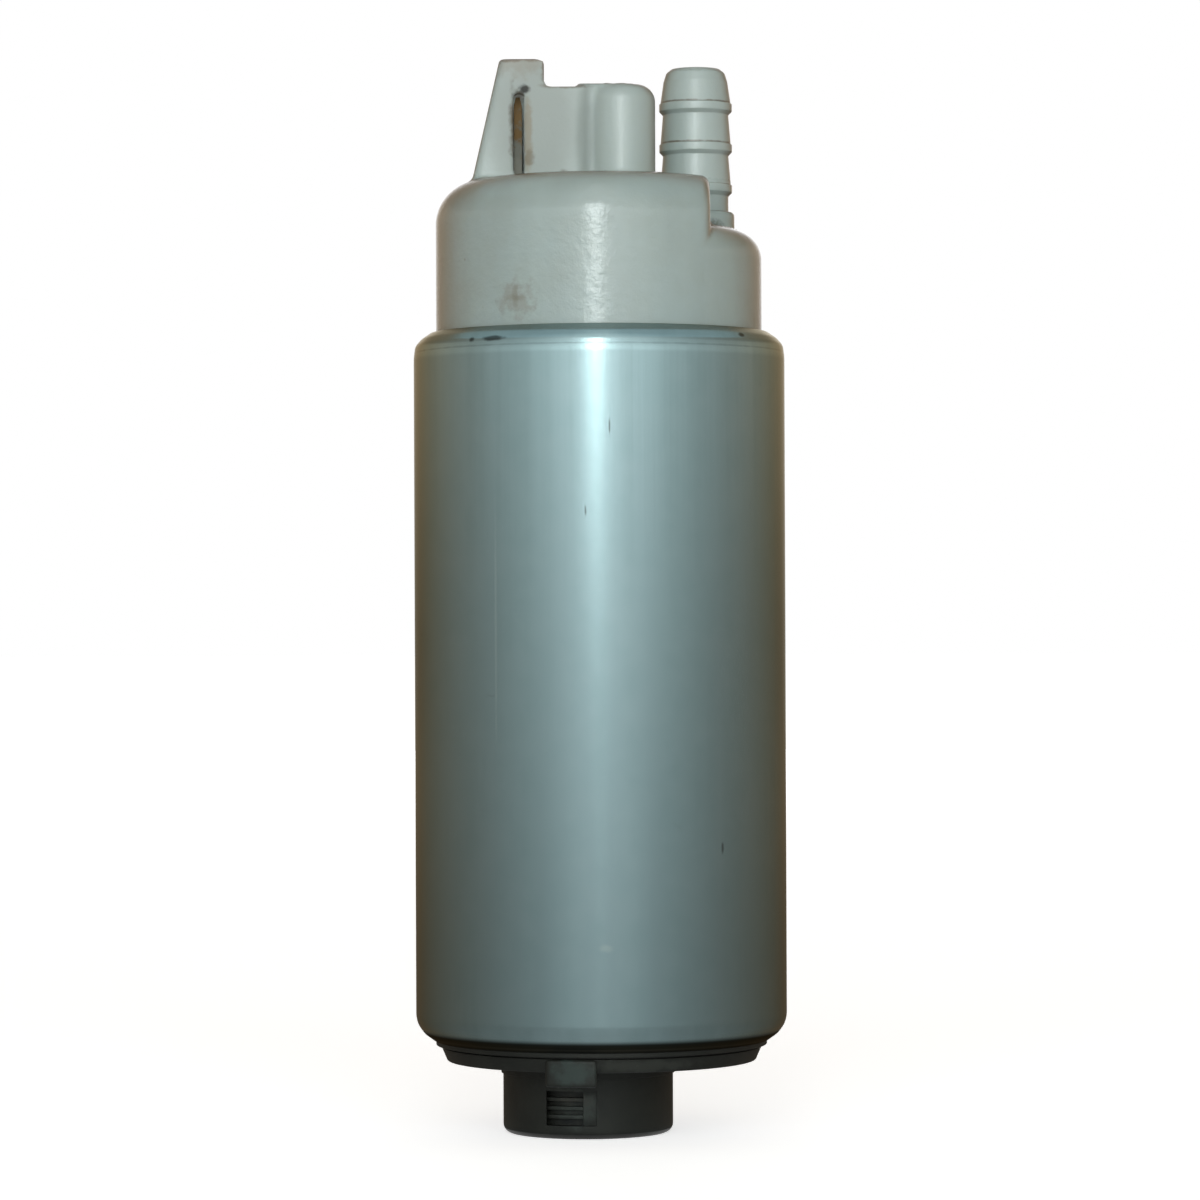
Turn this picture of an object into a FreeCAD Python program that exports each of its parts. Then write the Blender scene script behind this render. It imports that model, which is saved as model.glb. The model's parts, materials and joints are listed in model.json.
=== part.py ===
import FreeCAD, Part
import math
import os

# In-tank electric fuel pump, in millimetres.
# A rolled steel can holds a gerotor pump set and a small permanent-magnet motor. A black
# inlet cover closes it below and a white outlet cover, with its hose barb, connector and
# relief valve tower, closes it above.
# The origin is on the can's axis, level with the foot of the inlet neck, which stands a
# little to one side of it. +Z is up and -Y is the front, the side that the slot in the
# connector's wall faces.

V = FreeCAD.Vector
UP = V(0, 0, 1)
TINY = 1e-6

# Clearances
FIT = 0.05
PRESS_GAP = 0.02
RUNNING_GAP = 0.03

# How far a cutting shape runs past what it cuts
BEYOND = 1.0

# Can
CAN_WALL = 1.0
BOTTOM_ROLL = 2.1
TOP_ROLL = 2.0

# Inlet cover
NECK_X = -1.4
NECK_RADIUS = 8.7
NECK_LENGTH = 7.4
NECK_EDGE = 1.0
NECK_SHOULDER = 0.2
INLET_RADIUS = 6.5
FLANGE_THICKNESS = 1.4
FLANGE_DRAFT = 0.6
FLANGE_SETBACK = 0.5
RIM_GROOVE = 0.2
RIM_GROOVE_DEPTH = 0.3
RIM_COLLAR = 0.45
COVER_BODY = 5.0
CHAMBER_MARGIN = 0.6
CHAMBER_DEPTH = 2.0
KEY_LEFT = -5.6
KEY_RIGHT = -0.5
KEY_DROP = 1.3
KEY_PROUD = 0.1
WINDOW_FOOT = 1.4
WINDOW_HEIGHT = 3.5
WINDOW_DEPTH = 1.1
WINDOW_SLATS = 3
SLAT_THICKNESS = 0.4
SLAT_SUNK = 0.45
WINDOW_RIDGE = 1.4
RIDGE_SUNK = 0.1
COVER_SEAL = 1.6
COVER_SEAL_SETBACK = 0.6

# Pump section
INLET_PLATE = 3.0
ROTOR_HEIGHT = 6.0
OUTLET_PLATE = 3.5
OUTER_TEETH = 7
INNER_LOBES = OUTER_TEETH - 1
ECCENTRICITY = 0.9
RING_WALL = 2.1
TOOTH_RADIUS = 2.3
TIP_GAP = 0.1
POINTS_PER_LOBE = 16
KIDNEY_HALF_ANGLE = 66.0
KIDNEY_INNER_LAND = 0.4
KIDNEY_OUTER_LAND = 0.3
SCREW_RADIUS = 1.25
SCREW_HEAD_RADIUS = 2.1
SCREW_HEAD_HEIGHT = 1.8
SCREW_HEAD_ROOM = 0.3
SCREW_SOCKET = 1.0
SCREW_ANGLES = (60.0, 180.0, 300.0)
PIN_RADIUS = 1.0
PIN_LENGTH = 11.0
PIN_WALL = 1.0
PIN_ANGLES = (0.0, 120.0)
BLIND_FLOOR = 0.5

# Shaft and bearings
SHAFT_RADIUS = 2.0
SHAFT_FLAT = 1.6
SHAFT_END = 1.5
THRUST_BUTTON = 1.0
THRUST_PLAY = 0.3
BEARING_RADIUS = 3.4
LOWER_BEARING_LENGTH = 6.5
UPPER_BEARING_LENGTH = 6.5
BEARING_PROUD = 0.9
HUB_RADIUS = 5.2
HUB_HEIGHT = 4.0
WASHER = 0.4
WASHER_RADIUS = 3.2
END_PLAY = 0.5

# Motor
SLEEVE_WALL = 1.65
MAGNET_THICKNESS = 4.2
MAGNET_LENGTH = 31.0
MAGNET_HALF_ANGLE = 65.0
CLIP_LENGTH = 26.0
CLIP_SHEET = 0.5
AIR_GAP = 0.65
CORE_RADIUS = 11.4
CORE_LENGTH = 26.0
SLOTS = 8
TOOTH_HALF = 1.1
SLOT_DEPTH = 5.1
TOOTH_TIP = 1.9
SLOT_OPENING = 1.2
INSULATOR = 1.0
INSULATOR_HUB = 2.55
INSULATOR_RADIUS = 4.0
END_TURN = 2.0
COIL_GAP = 0.15
COIL_LEAD = 0.3
COIL_SETBACK = 0.8
COMMUTATOR_HUB = 5.5
COMMUTATOR_DISC = 1.5
COMMUTATOR_RADIUS = 9.7
SEGMENT_THICKNESS = 1.2
SEGMENT_GAP = 0.4
TANG = 0.5
TANG_SHARE = 0.33

# Springs
CLOSE_TURN_GAP = 0.42

# Brushes
BRUSH_CIRCLE = 6.6
BRUSH_ANGLE = 60.0
BRUSH_WIDTH = 3.6
BRUSH_DEPTH = 4.6
BRUSH_LENGTH = 7.0
BRUSH_TRAVEL = 3.0
BRUSH_SPRING_LENGTH = 7.7
BRUSH_SPRING_RADIUS = 1.4
BRUSH_WIRE = 0.2
BRUSH_SPRING_TURNS = 5.0
SHUNT_RADIUS = 0.4
SHUNT_LENGTH = 9.5
SHUNT_ROOM = 0.5

# Outlet cover
CAP_DEPTH = 9.8
LIP_GAP = 0.3
STEP_HEIGHT = 10.4
STEP_EDGE = 2.2
STEP_DEPTH = 5.5
RAISE = 5.1
RAISED_EDGE = 3.8
WALL_EDGE = 0.8
CAP_SEAL = 2.0
CAP_SEAL_SETBACK = 3.0
SEAL_DEPTH = 1.35
SEAL_ROUND = 0.35

# Hose barb and check valve
BARB_INSET = 6.63
BARB_Y = 4.0
BARB_HEIGHT = 17.15
BARB_STEM = 3.42
BARB_PEAK = 3.76
BARB_COUNT = 3
BARB_PITCH = 4.2
BARB_TIP_RADIUS = 3.25
BARB_TIP = 3.8
BARB_NOSE = 1.4
BARB_RAMP = 0.9
BARB_LAND = 0.4
BARB_COLLAR_RADIUS = 4.0
BARB_COLLAR = 2.3
OUTLET_RADIUS = 2.2
HOSE_POCKET = 6.2
VALVE_CHAMBER = 3.1
CHAMBER_ROOF = 1.2
SEAT_LENGTH = 6.0
SEAT_HOLE = 1.5
SEAT_CONE = 0.6
SEAT_PLAY = 0.07
PLUNGER_TIP = 0.5
PLUNGER_LAND = 1.2
GUIDE_RIB = 0.8
PLUNGER_DISC = 2.6
PLUNGER_STEM = 1.2
CHECK_SPRING_RADIUS = 2.4
CHECK_WIRE = 0.175
CHECK_STEM_LENGTH = 5.0
CHECK_SPRING_TURNS = 4.5

# Relief valve tower
TOWER_X = 2.37
TOWER_Y = -2.5
TOWER_RADIUS = 3.45
TOWER_HEIGHT = 9.7
TOWER_EDGE = 1.8
RELIEF_CHAMBER = 1.9
RELIEF_HOLE = 0.9
RELIEF_FEED_CIRCLE = 5.6
RELIEF_SEAT_DEPTH = 12.8
RELIEF_HEAD = 1.75
RELIEF_HEAD_LENGTH = 2.0
RELIEF_STEM = 0.8
RELIEF_STEM_LENGTH = 5.5
RELIEF_SPRING_LENGTH = 13.5
RELIEF_SPRING_RADIUS = 1.25
RELIEF_WIRE = 0.2
RELIEF_SPRING_TURNS = 6.5
RELIEF_PASSAGE_DROP = 2.2
RETAINER_LENGTH = 2.5

# Connector
SHROUD_LEFT_FOOT = -12.8
SHROUD_LEFT_TOP = -10.1
SHROUD_RIGHT = -0.7
SHROUD_HALF_DEPTH = 5.1
SHROUD_WALL = 1.2
SHROUD_END_WALL = 0.8
SHROUD_HEIGHT = 9.3
SHROUD_CORNER = 0.8
TAB_RIGHT = -5.5
TAB_RISE = 2.8
TAB_FILLET = 0.6
RIB_LEFT = -2.1
RIB_RISE = 0.4
RIB_REACH = 1.5
RIB_DEPTH = 1.2
BACK_RISE = 0.9
SLOT_LEFT = -8.8
SLOT_RIGHT = -7.05
SLOT_FOOT = 0.3
SLOT_HEIGHT = 8.7
BLADE_X = (-8.2, -2.8)
BLADE_THICKNESS = 0.8
BLADE_WIDTH = 4.8
BLADE_HEIGHT = 8.5
BLADE_BEVEL = 0.8
BLADE_ROOT = 7.3

# Suppression chokes
CHOKE_X = -10.5
CHOKE_Y = 5.0
CHOKE_POCKET = 2.1
CHOKE_DEPTH = 16.0
CHOKE_CORE_RADIUS = 1.1
CHOKE_CORE_LENGTH = 12.0
CHOKE_COIL_RADIUS = 1.85
CHOKE_COIL_LENGTH = 10.0
CHOKE_LEAD = 0.3

# Heights worked out from the stack
CAN_BOTTOM = NECK_LENGTH + FLANGE_THICKNESS + RIM_GROOVE + RIM_COLLAR + FIT
PLATE_Z = CAN_BOTTOM + COVER_BODY
CAM_Z = PLATE_Z + INLET_PLATE
OUTLET_PLATE_Z = CAM_Z + ROTOR_HEIGHT
MOTOR_Z = OUTLET_PLATE_Z + OUTLET_PLATE
HUB_TOP = MOTOR_Z + HUB_HEIGHT
ARMATURE_Z = HUB_TOP + WASHER + FIT
CORE_Z = ARMATURE_Z + INSULATOR_HUB + INSULATOR
CORE_TOP = CORE_Z + CORE_LENGTH
COMMUTATOR_Z = CORE_TOP + INSULATOR
DISC_Z = COMMUTATOR_Z + COMMUTATOR_HUB
SEGMENT_Z = DISC_Z + COMMUTATOR_DISC
CAP_Z = SEGMENT_Z + SEGMENT_THICKNESS + WASHER + END_PLAY + BEARING_PROUD
CAN_TOP = CAP_Z + CAP_DEPTH
STEP_Z = CAN_TOP + STEP_HEIGHT
RAISED_Z = STEP_Z + RAISE
WEB_Z = RAISED_Z + SHROUD_HEIGHT
TAB_Z = WEB_Z + TAB_RISE
TOWER_Z = RAISED_Z + TOWER_HEIGHT
BARB_Z = STEP_Z + BARB_HEIGHT
BRUSH_Z = SEGMENT_Z + SEGMENT_THICKNESS + FIT
BRUSH_TOP = BRUSH_Z + BRUSH_LENGTH
GUIDE_TOP = BRUSH_TOP + BRUSH_SPRING_LENGTH
MAGNET_Z = CORE_Z + (CORE_LENGTH - MAGNET_LENGTH) / 2.0
CHECK_SEAT_Z = CAP_Z + SEAT_LENGTH
CHECK_ROOF_Z = STEP_Z - CHAMBER_ROOF
RELIEF_SEAT_Z = RAISED_Z - RELIEF_SEAT_DEPTH
RETAINER_Z = RELIEF_SEAT_Z + RUNNING_GAP + RELIEF_HEAD_LENGTH + RELIEF_SPRING_LENGTH
BLADE_FOOT_Z = RAISED_Z - BLADE_ROOT
CHOKE_TOP_Z = CAP_Z + CHOKE_DEPTH

# Radii worked out from the armature outwards. The can comes to 19 mm, for a 38 mm seat.
CORE_HUB = CORE_RADIUS - TOOTH_TIP - SLOT_DEPTH
MAGNET_INNER = CORE_RADIUS + AIR_GAP
MAGNET_OUTER = MAGNET_INNER + MAGNET_THICKNESS
SLEEVE_INNER = MAGNET_OUTER + FIT
BODY_RADIUS = SLEEVE_INNER + SLEEVE_WALL
INSIDE_RADIUS = BODY_RADIUS + FIT
CAN_RADIUS = INSIDE_RADIUS + CAN_WALL
FASTENER_CIRCLE = SLEEVE_INNER - SCREW_HEAD_RADIUS - SCREW_HEAD_ROOM
OUTER_ROTOR_RADIUS = FASTENER_CIRCLE - PIN_RADIUS - PIN_WALL - ECCENTRICITY
TOOTH_CIRCLE = OUTER_ROTOR_RADIUS - RING_WALL
LIP_RADIUS = CAN_RADIUS - BOTTOM_ROLL
COLLAR_RADIUS = LIP_RADIUS + FIT
FLANGE_RADIUS = LIP_RADIUS - FLANGE_SETBACK
ROTOR_CAVITY = TOOTH_CIRCLE - TOOTH_RADIUS + 2.0 * ECCENTRICITY + TIP_GAP
KIDNEY_INNER = TOOTH_CIRCLE - TOOTH_RADIUS - ECCENTRICITY + KIDNEY_INNER_LAND
KIDNEY_OUTER = ROTOR_CAVITY - KIDNEY_OUTER_LAND
CHAMBER_RADIUS = KIDNEY_OUTER + CHAMBER_MARGIN
CAP_NECK_RADIUS = CAN_RADIUS - TOP_ROLL - LIP_GAP
STEP_X = CAP_NECK_RADIUS - STEP_DEPTH
BARB_X = CAP_NECK_RADIUS - BARB_INSET


def flat_wire(points, place):
    """Closed wire. A step is an end point, or a pair: a point on an arc and its end."""
    edges = []
    here = place(*points[0])
    for step in points[1:] + [points[0]]:
        if isinstance(step[0], tuple):
            there = place(*step[1])
            edges.append(Part.Arc(here, place(*step[0]), there).toShape())
        else:
            there = place(*step)
            if there.distanceToPoint(here) > TINY:
                edges.append(Part.LineSegment(here, there).toShape())
        here = there
    return Part.Wire(edges)


def turned(points, x=0.0, y=0.0):
    """Solid of revolution about a vertical axis, from (radius, height) points."""
    face = Part.Face(flat_wire(points, lambda r, z: V(r, 0, z)))
    solid = face.revolve(V(0, 0, 0), UP, 360)
    solid.translate(V(x, y, 0))
    return solid


def prism_xz(points, y_front, y_back):
    """Prism along Y of an outline given in (x, z)."""
    face = Part.Face(flat_wire(points, lambda x, z: V(x, y_front, z)))
    return face.extrude(V(0, y_back - y_front, 0))


def prism_xy(points, z_low, z_high):
    """Prism along Z of an outline given in (x, y)."""
    face = Part.Face(flat_wire(points, lambda x, y: V(x, y, z_low)))
    return face.extrude(V(0, 0, z_high - z_low))


def rod(radius, z_low, z_high, x=0.0, y=0.0):
    return Part.makeCylinder(radius, z_high - z_low, V(x, y, z_low), UP)


def tube(inner, outer, z_low, z_high, x=0.0, y=0.0):
    return rod(outer, z_low, z_high, x, y).cut(rod(inner, z_low, z_high, x, y))


def block(x_low, x_high, y_low, y_high, z_low, z_high):
    size = V(x_high - x_low, y_high - y_low, z_high - z_low)
    return Part.makeBox(size.x, size.y, size.z, V(x_low, y_low, z_low))


def sector(inner, outer, z_low, z_high, middle, half):
    """Part of a ring between two angles, in degrees."""
    points = [(inner, z_low), (outer, z_low), (outer, z_high), (inner, z_high)]
    face = Part.Face(flat_wire(points, lambda r, z: V(r, 0, z)))
    face.rotate(V(0, 0, 0), UP, middle - half)
    return face.revolve(V(0, 0, 0), UP, 2.0 * half)


def arc_point(centre_r, centre_z, radius, degrees):
    angle = math.radians(degrees)
    return (centre_r + radius * math.cos(angle), centre_z + radius * math.sin(angle))


def on_circle(radius, degrees):
    angle = math.radians(degrees)
    return (radius * math.cos(angle), radius * math.sin(angle))


def turned_about_axis(shape, degrees):
    copy = shape.copy()
    copy.rotate(V(0, 0, 0), UP, degrees)
    return copy


def group(shapes):
    return Part.makeCompound(shapes)


def arc_from(start, corner, end):
    """Arc whose end tangents meet at the corner point."""
    middle = (start + end) * 0.5
    half_chord = start.distanceToPoint(end) / 2.0
    rise = middle.distanceToPoint(corner)
    sagitta = half_chord * math.tan(math.atan2(rise, half_chord) / 2.0)
    crown = middle + (corner - middle) * (sagitta / rise)
    return Part.Arc(start, crown, end).toShape()


def biarc(start, start_way, end, end_way):
    """Two arcs that leave and arrive in the given directions and meet smoothly."""
    across = end - start
    both = start_way + end_way
    a = 2.0 * (1.0 - start_way.dot(end_way))
    b = 2.0 * across.dot(both)
    reach = (-b + math.sqrt(b * b + 4.0 * a * across.dot(across))) / (2.0 * a)
    first = start + start_way * reach
    second = end - end_way * reach
    join = (first + second) * 0.5
    return [arc_from(start, first, join), arc_from(join, second, end)]


def coil_spring(mean_radius, wire_radius, z_low, z_high, turns, x, y):
    """Round-wire compression spring between two seats, with a close turn at each end."""
    close_pitch = 2.0 * wire_radius + CLOSE_TURN_GAP
    height = z_high - z_low - 2.0 * wire_radius
    open_pitch = (height - 2.0 * close_pitch) / (turns - 2.0)

    def height_at(turn):
        opened = min(max(turn - 1.0, 0.0), turns - 2.0)
        return close_pitch * (turn - opened) + open_pitch * opened

    def station(number):
        turn = 0.5 * number
        angle = 2.0 * math.pi * turn
        place = V(mean_radius * math.cos(angle), mean_radius * math.sin(angle),
                  height_at(turn))
        before = max(turn - 0.5, 0.0)
        after = min(turn + 0.5, turns)
        climb = (height_at(after) - height_at(before)) / (after - before)
        run = 2.0 * math.pi * mean_radius
        way = V(-run * math.sin(angle), run * math.cos(angle), climb).normalize()
        return place, way

    edges = []
    for number in range(int(round(2 * turns))):
        edges += biarc(*station(number), *station(number + 1))
    place, way = station(0)
    section = Part.Wire([Part.Circle(place, way, wire_radius).toShape()])
    spring = Part.Wire(edges).makePipeShell([section], True, False)
    spring.translate(V(x, y, z_low + wire_radius))
    return spring


# Can and covers

def pump_can():
    """Drawn steel tube whose two ends are rolled in over the covers."""
    low = CAN_BOTTOM + BOTTOM_ROLL
    high = CAN_TOP - TOP_ROLL
    top_centre = CAN_RADIUS - TOP_ROLL
    inner_low = BOTTOM_ROLL - CAN_WALL
    inner_high = TOP_ROLL - CAN_WALL
    return turned([
        (LIP_RADIUS, CAN_BOTTOM),
        (arc_point(LIP_RADIUS, low, BOTTOM_ROLL, -45), (CAN_RADIUS, low)),
        (CAN_RADIUS, high),
        (arc_point(top_centre, high, TOP_ROLL, 45), (top_centre, CAN_TOP)),
        (top_centre, CAN_TOP - CAN_WALL),
        (arc_point(top_centre, high, inner_high, 45), (INSIDE_RADIUS, high)),
        (INSIDE_RADIUS, low),
        (arc_point(LIP_RADIUS, low, inner_low, -45), (LIP_RADIUS, CAN_BOTTOM + CAN_WALL)),
    ])


def neck_window():
    """Shallow pocket in the front of the inlet neck, with a floor that follows the neck."""
    top = WINDOW_FOOT + WINDOW_HEIGHT
    slab = block(KEY_LEFT, KEY_RIGHT, -CAN_RADIUS, 0.0, WINDOW_FOOT, top)
    return slab.cut(rod(NECK_RADIUS - WINDOW_DEPTH, 0.0, NECK_LENGTH, NECK_X))


def window_bars():
    """Cross bars and the upright ridge that stand in the neck's pocket."""
    rooted = NECK_RADIUS - 1.5 * WINDOW_DEPTH
    pitch = WINDOW_HEIGHT / (WINDOW_SLATS + 1.0)
    bars = []
    for number in range(WINDOW_SLATS):
        low = WINDOW_FOOT + pitch * (number + 1) - SLAT_THICKNESS / 2.0
        high = low + SLAT_THICKNESS
        hoop = tube(rooted, NECK_RADIUS - SLAT_SUNK, low, high, NECK_X)
        bars.append(hoop.common(block(KEY_LEFT, KEY_RIGHT, -CAN_RADIUS, 0.0, low, high)))
    top = WINDOW_FOOT + WINDOW_HEIGHT
    hoop = tube(rooted, NECK_RADIUS - RIDGE_SUNK, WINDOW_FOOT, top, NECK_X)
    left = KEY_RIGHT - WINDOW_RIDGE
    ridge = hoop.common(block(left, KEY_RIGHT, -CAN_RADIUS, 0.0, WINDOW_FOOT, top))
    return [ridge] + bars


def inlet_cover():
    """Black moulded cover with the inlet neck, held in the can's rolled lower edge."""
    flange_top = NECK_LENGTH + FLANGE_THICKNESS
    groove_top = flange_top + RIM_GROOVE
    collar_top = groove_top + RIM_COLLAR
    low = CAN_BOTTOM + BOTTOM_ROLL
    shoulder = BOTTOM_ROLL - CAN_WALL - FIT
    seal_low = low + COVER_SEAL_SETBACK
    seal_high = seal_low + COVER_SEAL
    key_z = NECK_LENGTH - KEY_DROP
    shoulder_radius = NECK_RADIUS + NECK_SHOULDER
    groove_radius = FLANGE_RADIUS - RIM_GROOVE_DEPTH
    chamber_foot = PLATE_Z - CHAMBER_DEPTH - CHAMBER_RADIUS + INLET_RADIUS
    neck = turned([
        (0.0, 0.0),
        (NECK_RADIUS - NECK_EDGE, 0.0),
        (arc_point(NECK_RADIUS - NECK_EDGE, NECK_EDGE, NECK_EDGE, -45), (NECK_RADIUS, NECK_EDGE)),
        (NECK_RADIUS, key_z),
        (shoulder_radius, key_z),
        (shoulder_radius, NECK_LENGTH),
        (0.0, NECK_LENGTH),
    ])
    body = turned([
        (0.0, NECK_LENGTH),
        (FLANGE_RADIUS - FLANGE_DRAFT, NECK_LENGTH),
        (FLANGE_RADIUS, flange_top),
        (groove_radius, flange_top),
        (groove_radius, groove_top),
        (COLLAR_RADIUS, groove_top),
        (COLLAR_RADIUS, collar_top),
        (LIP_RADIUS - FIT, collar_top),
        (LIP_RADIUS - FIT, low - shoulder),
        (arc_point(LIP_RADIUS, low, shoulder, -45), (BODY_RADIUS, low)),
        (BODY_RADIUS, seal_low),
        (BODY_RADIUS - SEAL_DEPTH, seal_low),
        (BODY_RADIUS - SEAL_DEPTH, seal_high),
        (BODY_RADIUS, seal_high),
        (BODY_RADIUS, PLATE_Z),
        (CHAMBER_RADIUS, PLATE_Z),
        (CHAMBER_RADIUS, PLATE_Z - CHAMBER_DEPTH),
        (INLET_RADIUS, chamber_foot),
        (0.0, chamber_foot),
    ])
    rooted = rod((INLET_RADIUS + NECK_RADIUS) / 2.0, key_z, flange_top, NECK_X)
    key = rod(FLANGE_RADIUS + KEY_PROUD, key_z, flange_top).cut(rooted)
    key = key.common(block(KEY_LEFT, KEY_RIGHT, -CAN_RADIUS, 0.0, key_z, flange_top))
    # The seams of the turned faces go to the -X side, clear of the window.
    neck = turned_about_axis(neck, 180.0)
    neck.translate(V(NECK_X, 0, 0))
    bore = rod(INLET_RADIUS, -BEYOND, PLATE_Z, NECK_X)
    cover = turned_about_axis(body, 180.0).fuse(neck).cut([neck_window(), bore])
    return cover.fuse([key] + window_bars()).removeSplitter()


def seal_ring(groove_low, groove_width):
    """Rubber ring pressed nearly square in its groove."""
    inner = BODY_RADIUS - SEAL_DEPTH + PRESS_GAP
    outer = INSIDE_RADIUS - PRESS_GAP
    edge = SEAL_ROUND
    low = groove_low + FIT
    high = groove_low + groove_width - FIT
    return turned([
        (inner + edge, low),
        (outer - edge, low),
        (arc_point(outer - edge, low + edge, edge, -45), (outer, low + edge)),
        (outer, high - edge),
        (arc_point(outer - edge, high - edge, edge, 45), (outer - edge, high)),
        (inner + edge, high),
        (arc_point(inner + edge, high - edge, edge, 135), (inner, high - edge)),
        (inner, low + edge),
        (arc_point(inner + edge, low + edge, edge, 225), (inner + edge, low)),
    ])


def inlet_seal():
    return seal_ring(CAN_BOTTOM + BOTTOM_ROLL + COVER_SEAL_SETBACK, COVER_SEAL)


def outlet_seal():
    return seal_ring(CAP_Z + CAP_SEAL_SETBACK, CAP_SEAL)


# Pump section

def fastener_hole(radius, z_low, z_high, angles):
    return [rod(radius, z_low, z_high, *on_circle(FASTENER_CIRCLE, angle)) for angle in angles]


def through_holes(z_low, z_high):
    """Holes for the clamp screws and the locating pins in one plate of the pump section."""
    screws = fastener_hole(SCREW_RADIUS + FIT, z_low, z_high, SCREW_ANGLES)
    return screws + fastener_hole(PIN_RADIUS + PRESS_GAP, z_low, z_high, PIN_ANGLES)


def kidney(z_low, z_high, middle):
    """Curved port that feeds or empties the rotor pockets on one side."""
    return sector(KIDNEY_INNER, KIDNEY_OUTER, z_low, z_high, middle, KIDNEY_HALF_ANGLE)


def inlet_port_plate():
    """Lower wear plate: kidney inlet port, blind holes and the seat of the thrust button."""
    plate = rod(BODY_RADIUS, PLATE_Z, CAM_Z)
    blind = PLATE_Z + BLIND_FLOOR
    seat = rod(SHAFT_RADIUS + THRUST_PLAY, blind, CAM_Z)
    port = kidney(PLATE_Z, CAM_Z, 90.0)
    return plate.cut([seat, port] + through_holes(blind, CAM_Z))


def thrust_button():
    """Hard steel disc that the shaft's lower end turns on."""
    low = PLATE_Z + BLIND_FLOOR
    return rod(SHAFT_RADIUS + THRUST_PLAY - FIT, low, low + THRUST_BUTTON)


def cam_ring():
    """Spacer ring with the eccentric bore that the outer rotor turns in."""
    ring = rod(BODY_RADIUS, CAM_Z, OUTLET_PLATE_Z)
    bore = rod(OUTER_ROTOR_RADIUS + FIT, CAM_Z, OUTLET_PLATE_Z, ECCENTRICITY)
    return ring.cut([bore] + through_holes(CAM_Z, OUTLET_PLATE_Z))


def outer_rotor():
    """Ring with seven round teeth inside, turning in the cam ring about its own axis."""
    low = CAM_Z + RUNNING_GAP
    high = OUTLET_PLATE_Z - RUNNING_GAP
    cavity = rod(ROTOR_CAVITY, low, high)
    teeth = []
    for number in range(OUTER_TEETH):
        x, y = on_circle(TOOTH_CIRCLE, 360.0 * number / OUTER_TEETH)
        teeth.append(rod(TOOTH_RADIUS, low, high, x, y))
    rotor = rod(OUTER_ROTOR_RADIUS, low, high).cut(cavity.cut(teeth))
    rotor.translate(V(ECCENTRICITY, 0, 0))
    return rotor


def inner_rotor_outline(z):
    """Closed curve that keeps clear of all seven teeth by the same gap at every angle.

    Seen from the inner rotor, each tooth's centre runs along an epitrochoid. The rotor's
    edge is that path moved inward by the tooth's radius and the running gap.
    """
    offset = TOOTH_RADIUS + FIT
    count = POINTS_PER_LOBE * INNER_LOBES
    points = []
    for number in range(count):
        angle = 2.0 * math.pi * number / count
        fast = OUTER_TEETH * angle
        path_x = TOOTH_CIRCLE * math.cos(angle) + ECCENTRICITY * math.cos(fast)
        path_y = TOOTH_CIRCLE * math.sin(angle) + ECCENTRICITY * math.sin(fast)
        normal_x = TOOTH_CIRCLE * math.cos(angle) + OUTER_TEETH * ECCENTRICITY * math.cos(fast)
        normal_y = TOOTH_CIRCLE * math.sin(angle) + OUTER_TEETH * ECCENTRICITY * math.sin(fast)
        length = math.hypot(normal_x, normal_y)
        x = path_x - offset * normal_x / length
        y = path_y - offset * normal_y / length
        points.append(V(x, y, z))
    curve = Part.BSplineCurve()
    curve.interpolate(points, PeriodicFlag=True)
    return Part.Wire([curve.toShape()])


def flatted_rod(radius, flat, z_low, z_high):
    """Round bar with two flats across X."""
    limit = 2.0 * radius
    return rod(radius, z_low, z_high).common(
        block(-flat, flat, -limit, limit, z_low, z_high))


def inner_rotor():
    """Six-lobed rotor that the shaft's two flats drive."""
    low = CAM_Z + RUNNING_GAP
    high = OUTLET_PLATE_Z - RUNNING_GAP
    body = Part.Face(inner_rotor_outline(low)).extrude(V(0, 0, high - low))
    return body.cut(flatted_rod(SHAFT_RADIUS + FIT, SHAFT_FLAT + FIT, low, high))


def outlet_port_plate():
    """Upper wear plate: kidney outlet port and the hub that holds the lower bearing."""
    plate = rod(BODY_RADIUS, OUTLET_PLATE_Z, MOTOR_Z).fuse(rod(HUB_RADIUS, MOTOR_Z, HUB_TOP))
    bore = rod(BEARING_RADIUS + PRESS_GAP, HUB_TOP - LOWER_BEARING_LENGTH, HUB_TOP)
    clearance = rod(SHAFT_RADIUS + THRUST_PLAY, OUTLET_PLATE_Z, HUB_TOP)
    port = kidney(OUTLET_PLATE_Z, MOTOR_Z, 270.0)
    holes = through_holes(OUTLET_PLATE_Z, MOTOR_Z)
    return plate.cut([bore, clearance, port] + holes).removeSplitter()


def pump_screws():
    """Three socket-head screws that clamp the plates on the cam ring."""
    screws = []
    for angle in SCREW_ANGLES:
        x, y = on_circle(FASTENER_CIRCLE, angle)
        head_top = MOTOR_Z + SCREW_HEAD_HEIGHT
        shank = rod(SCREW_RADIUS, PLATE_Z + BLIND_FLOOR + FIT, MOTOR_Z + FIT, x, y)
        head = rod(SCREW_HEAD_RADIUS, MOTOR_Z, head_top, x, y)
        corners = [on_circle(SCREW_SOCKET, 60.0 * corner) for corner in range(6)]
        hexagon = [(x + dx, y + dy) for dx, dy in corners]
        socket = prism_xy(hexagon, head_top - SCREW_HEAD_HEIGHT / 2.0, head_top)
        screws.append(shank.fuse(head).cut(socket).removeSplitter())
    return group(screws)


def locating_pins():
    """Two dowel pins that keep the three plates in line."""
    low = PLATE_Z + BLIND_FLOOR
    return group(fastener_hole(PIN_RADIUS, low, low + PIN_LENGTH, PIN_ANGLES))


# Shaft and bearings

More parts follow.
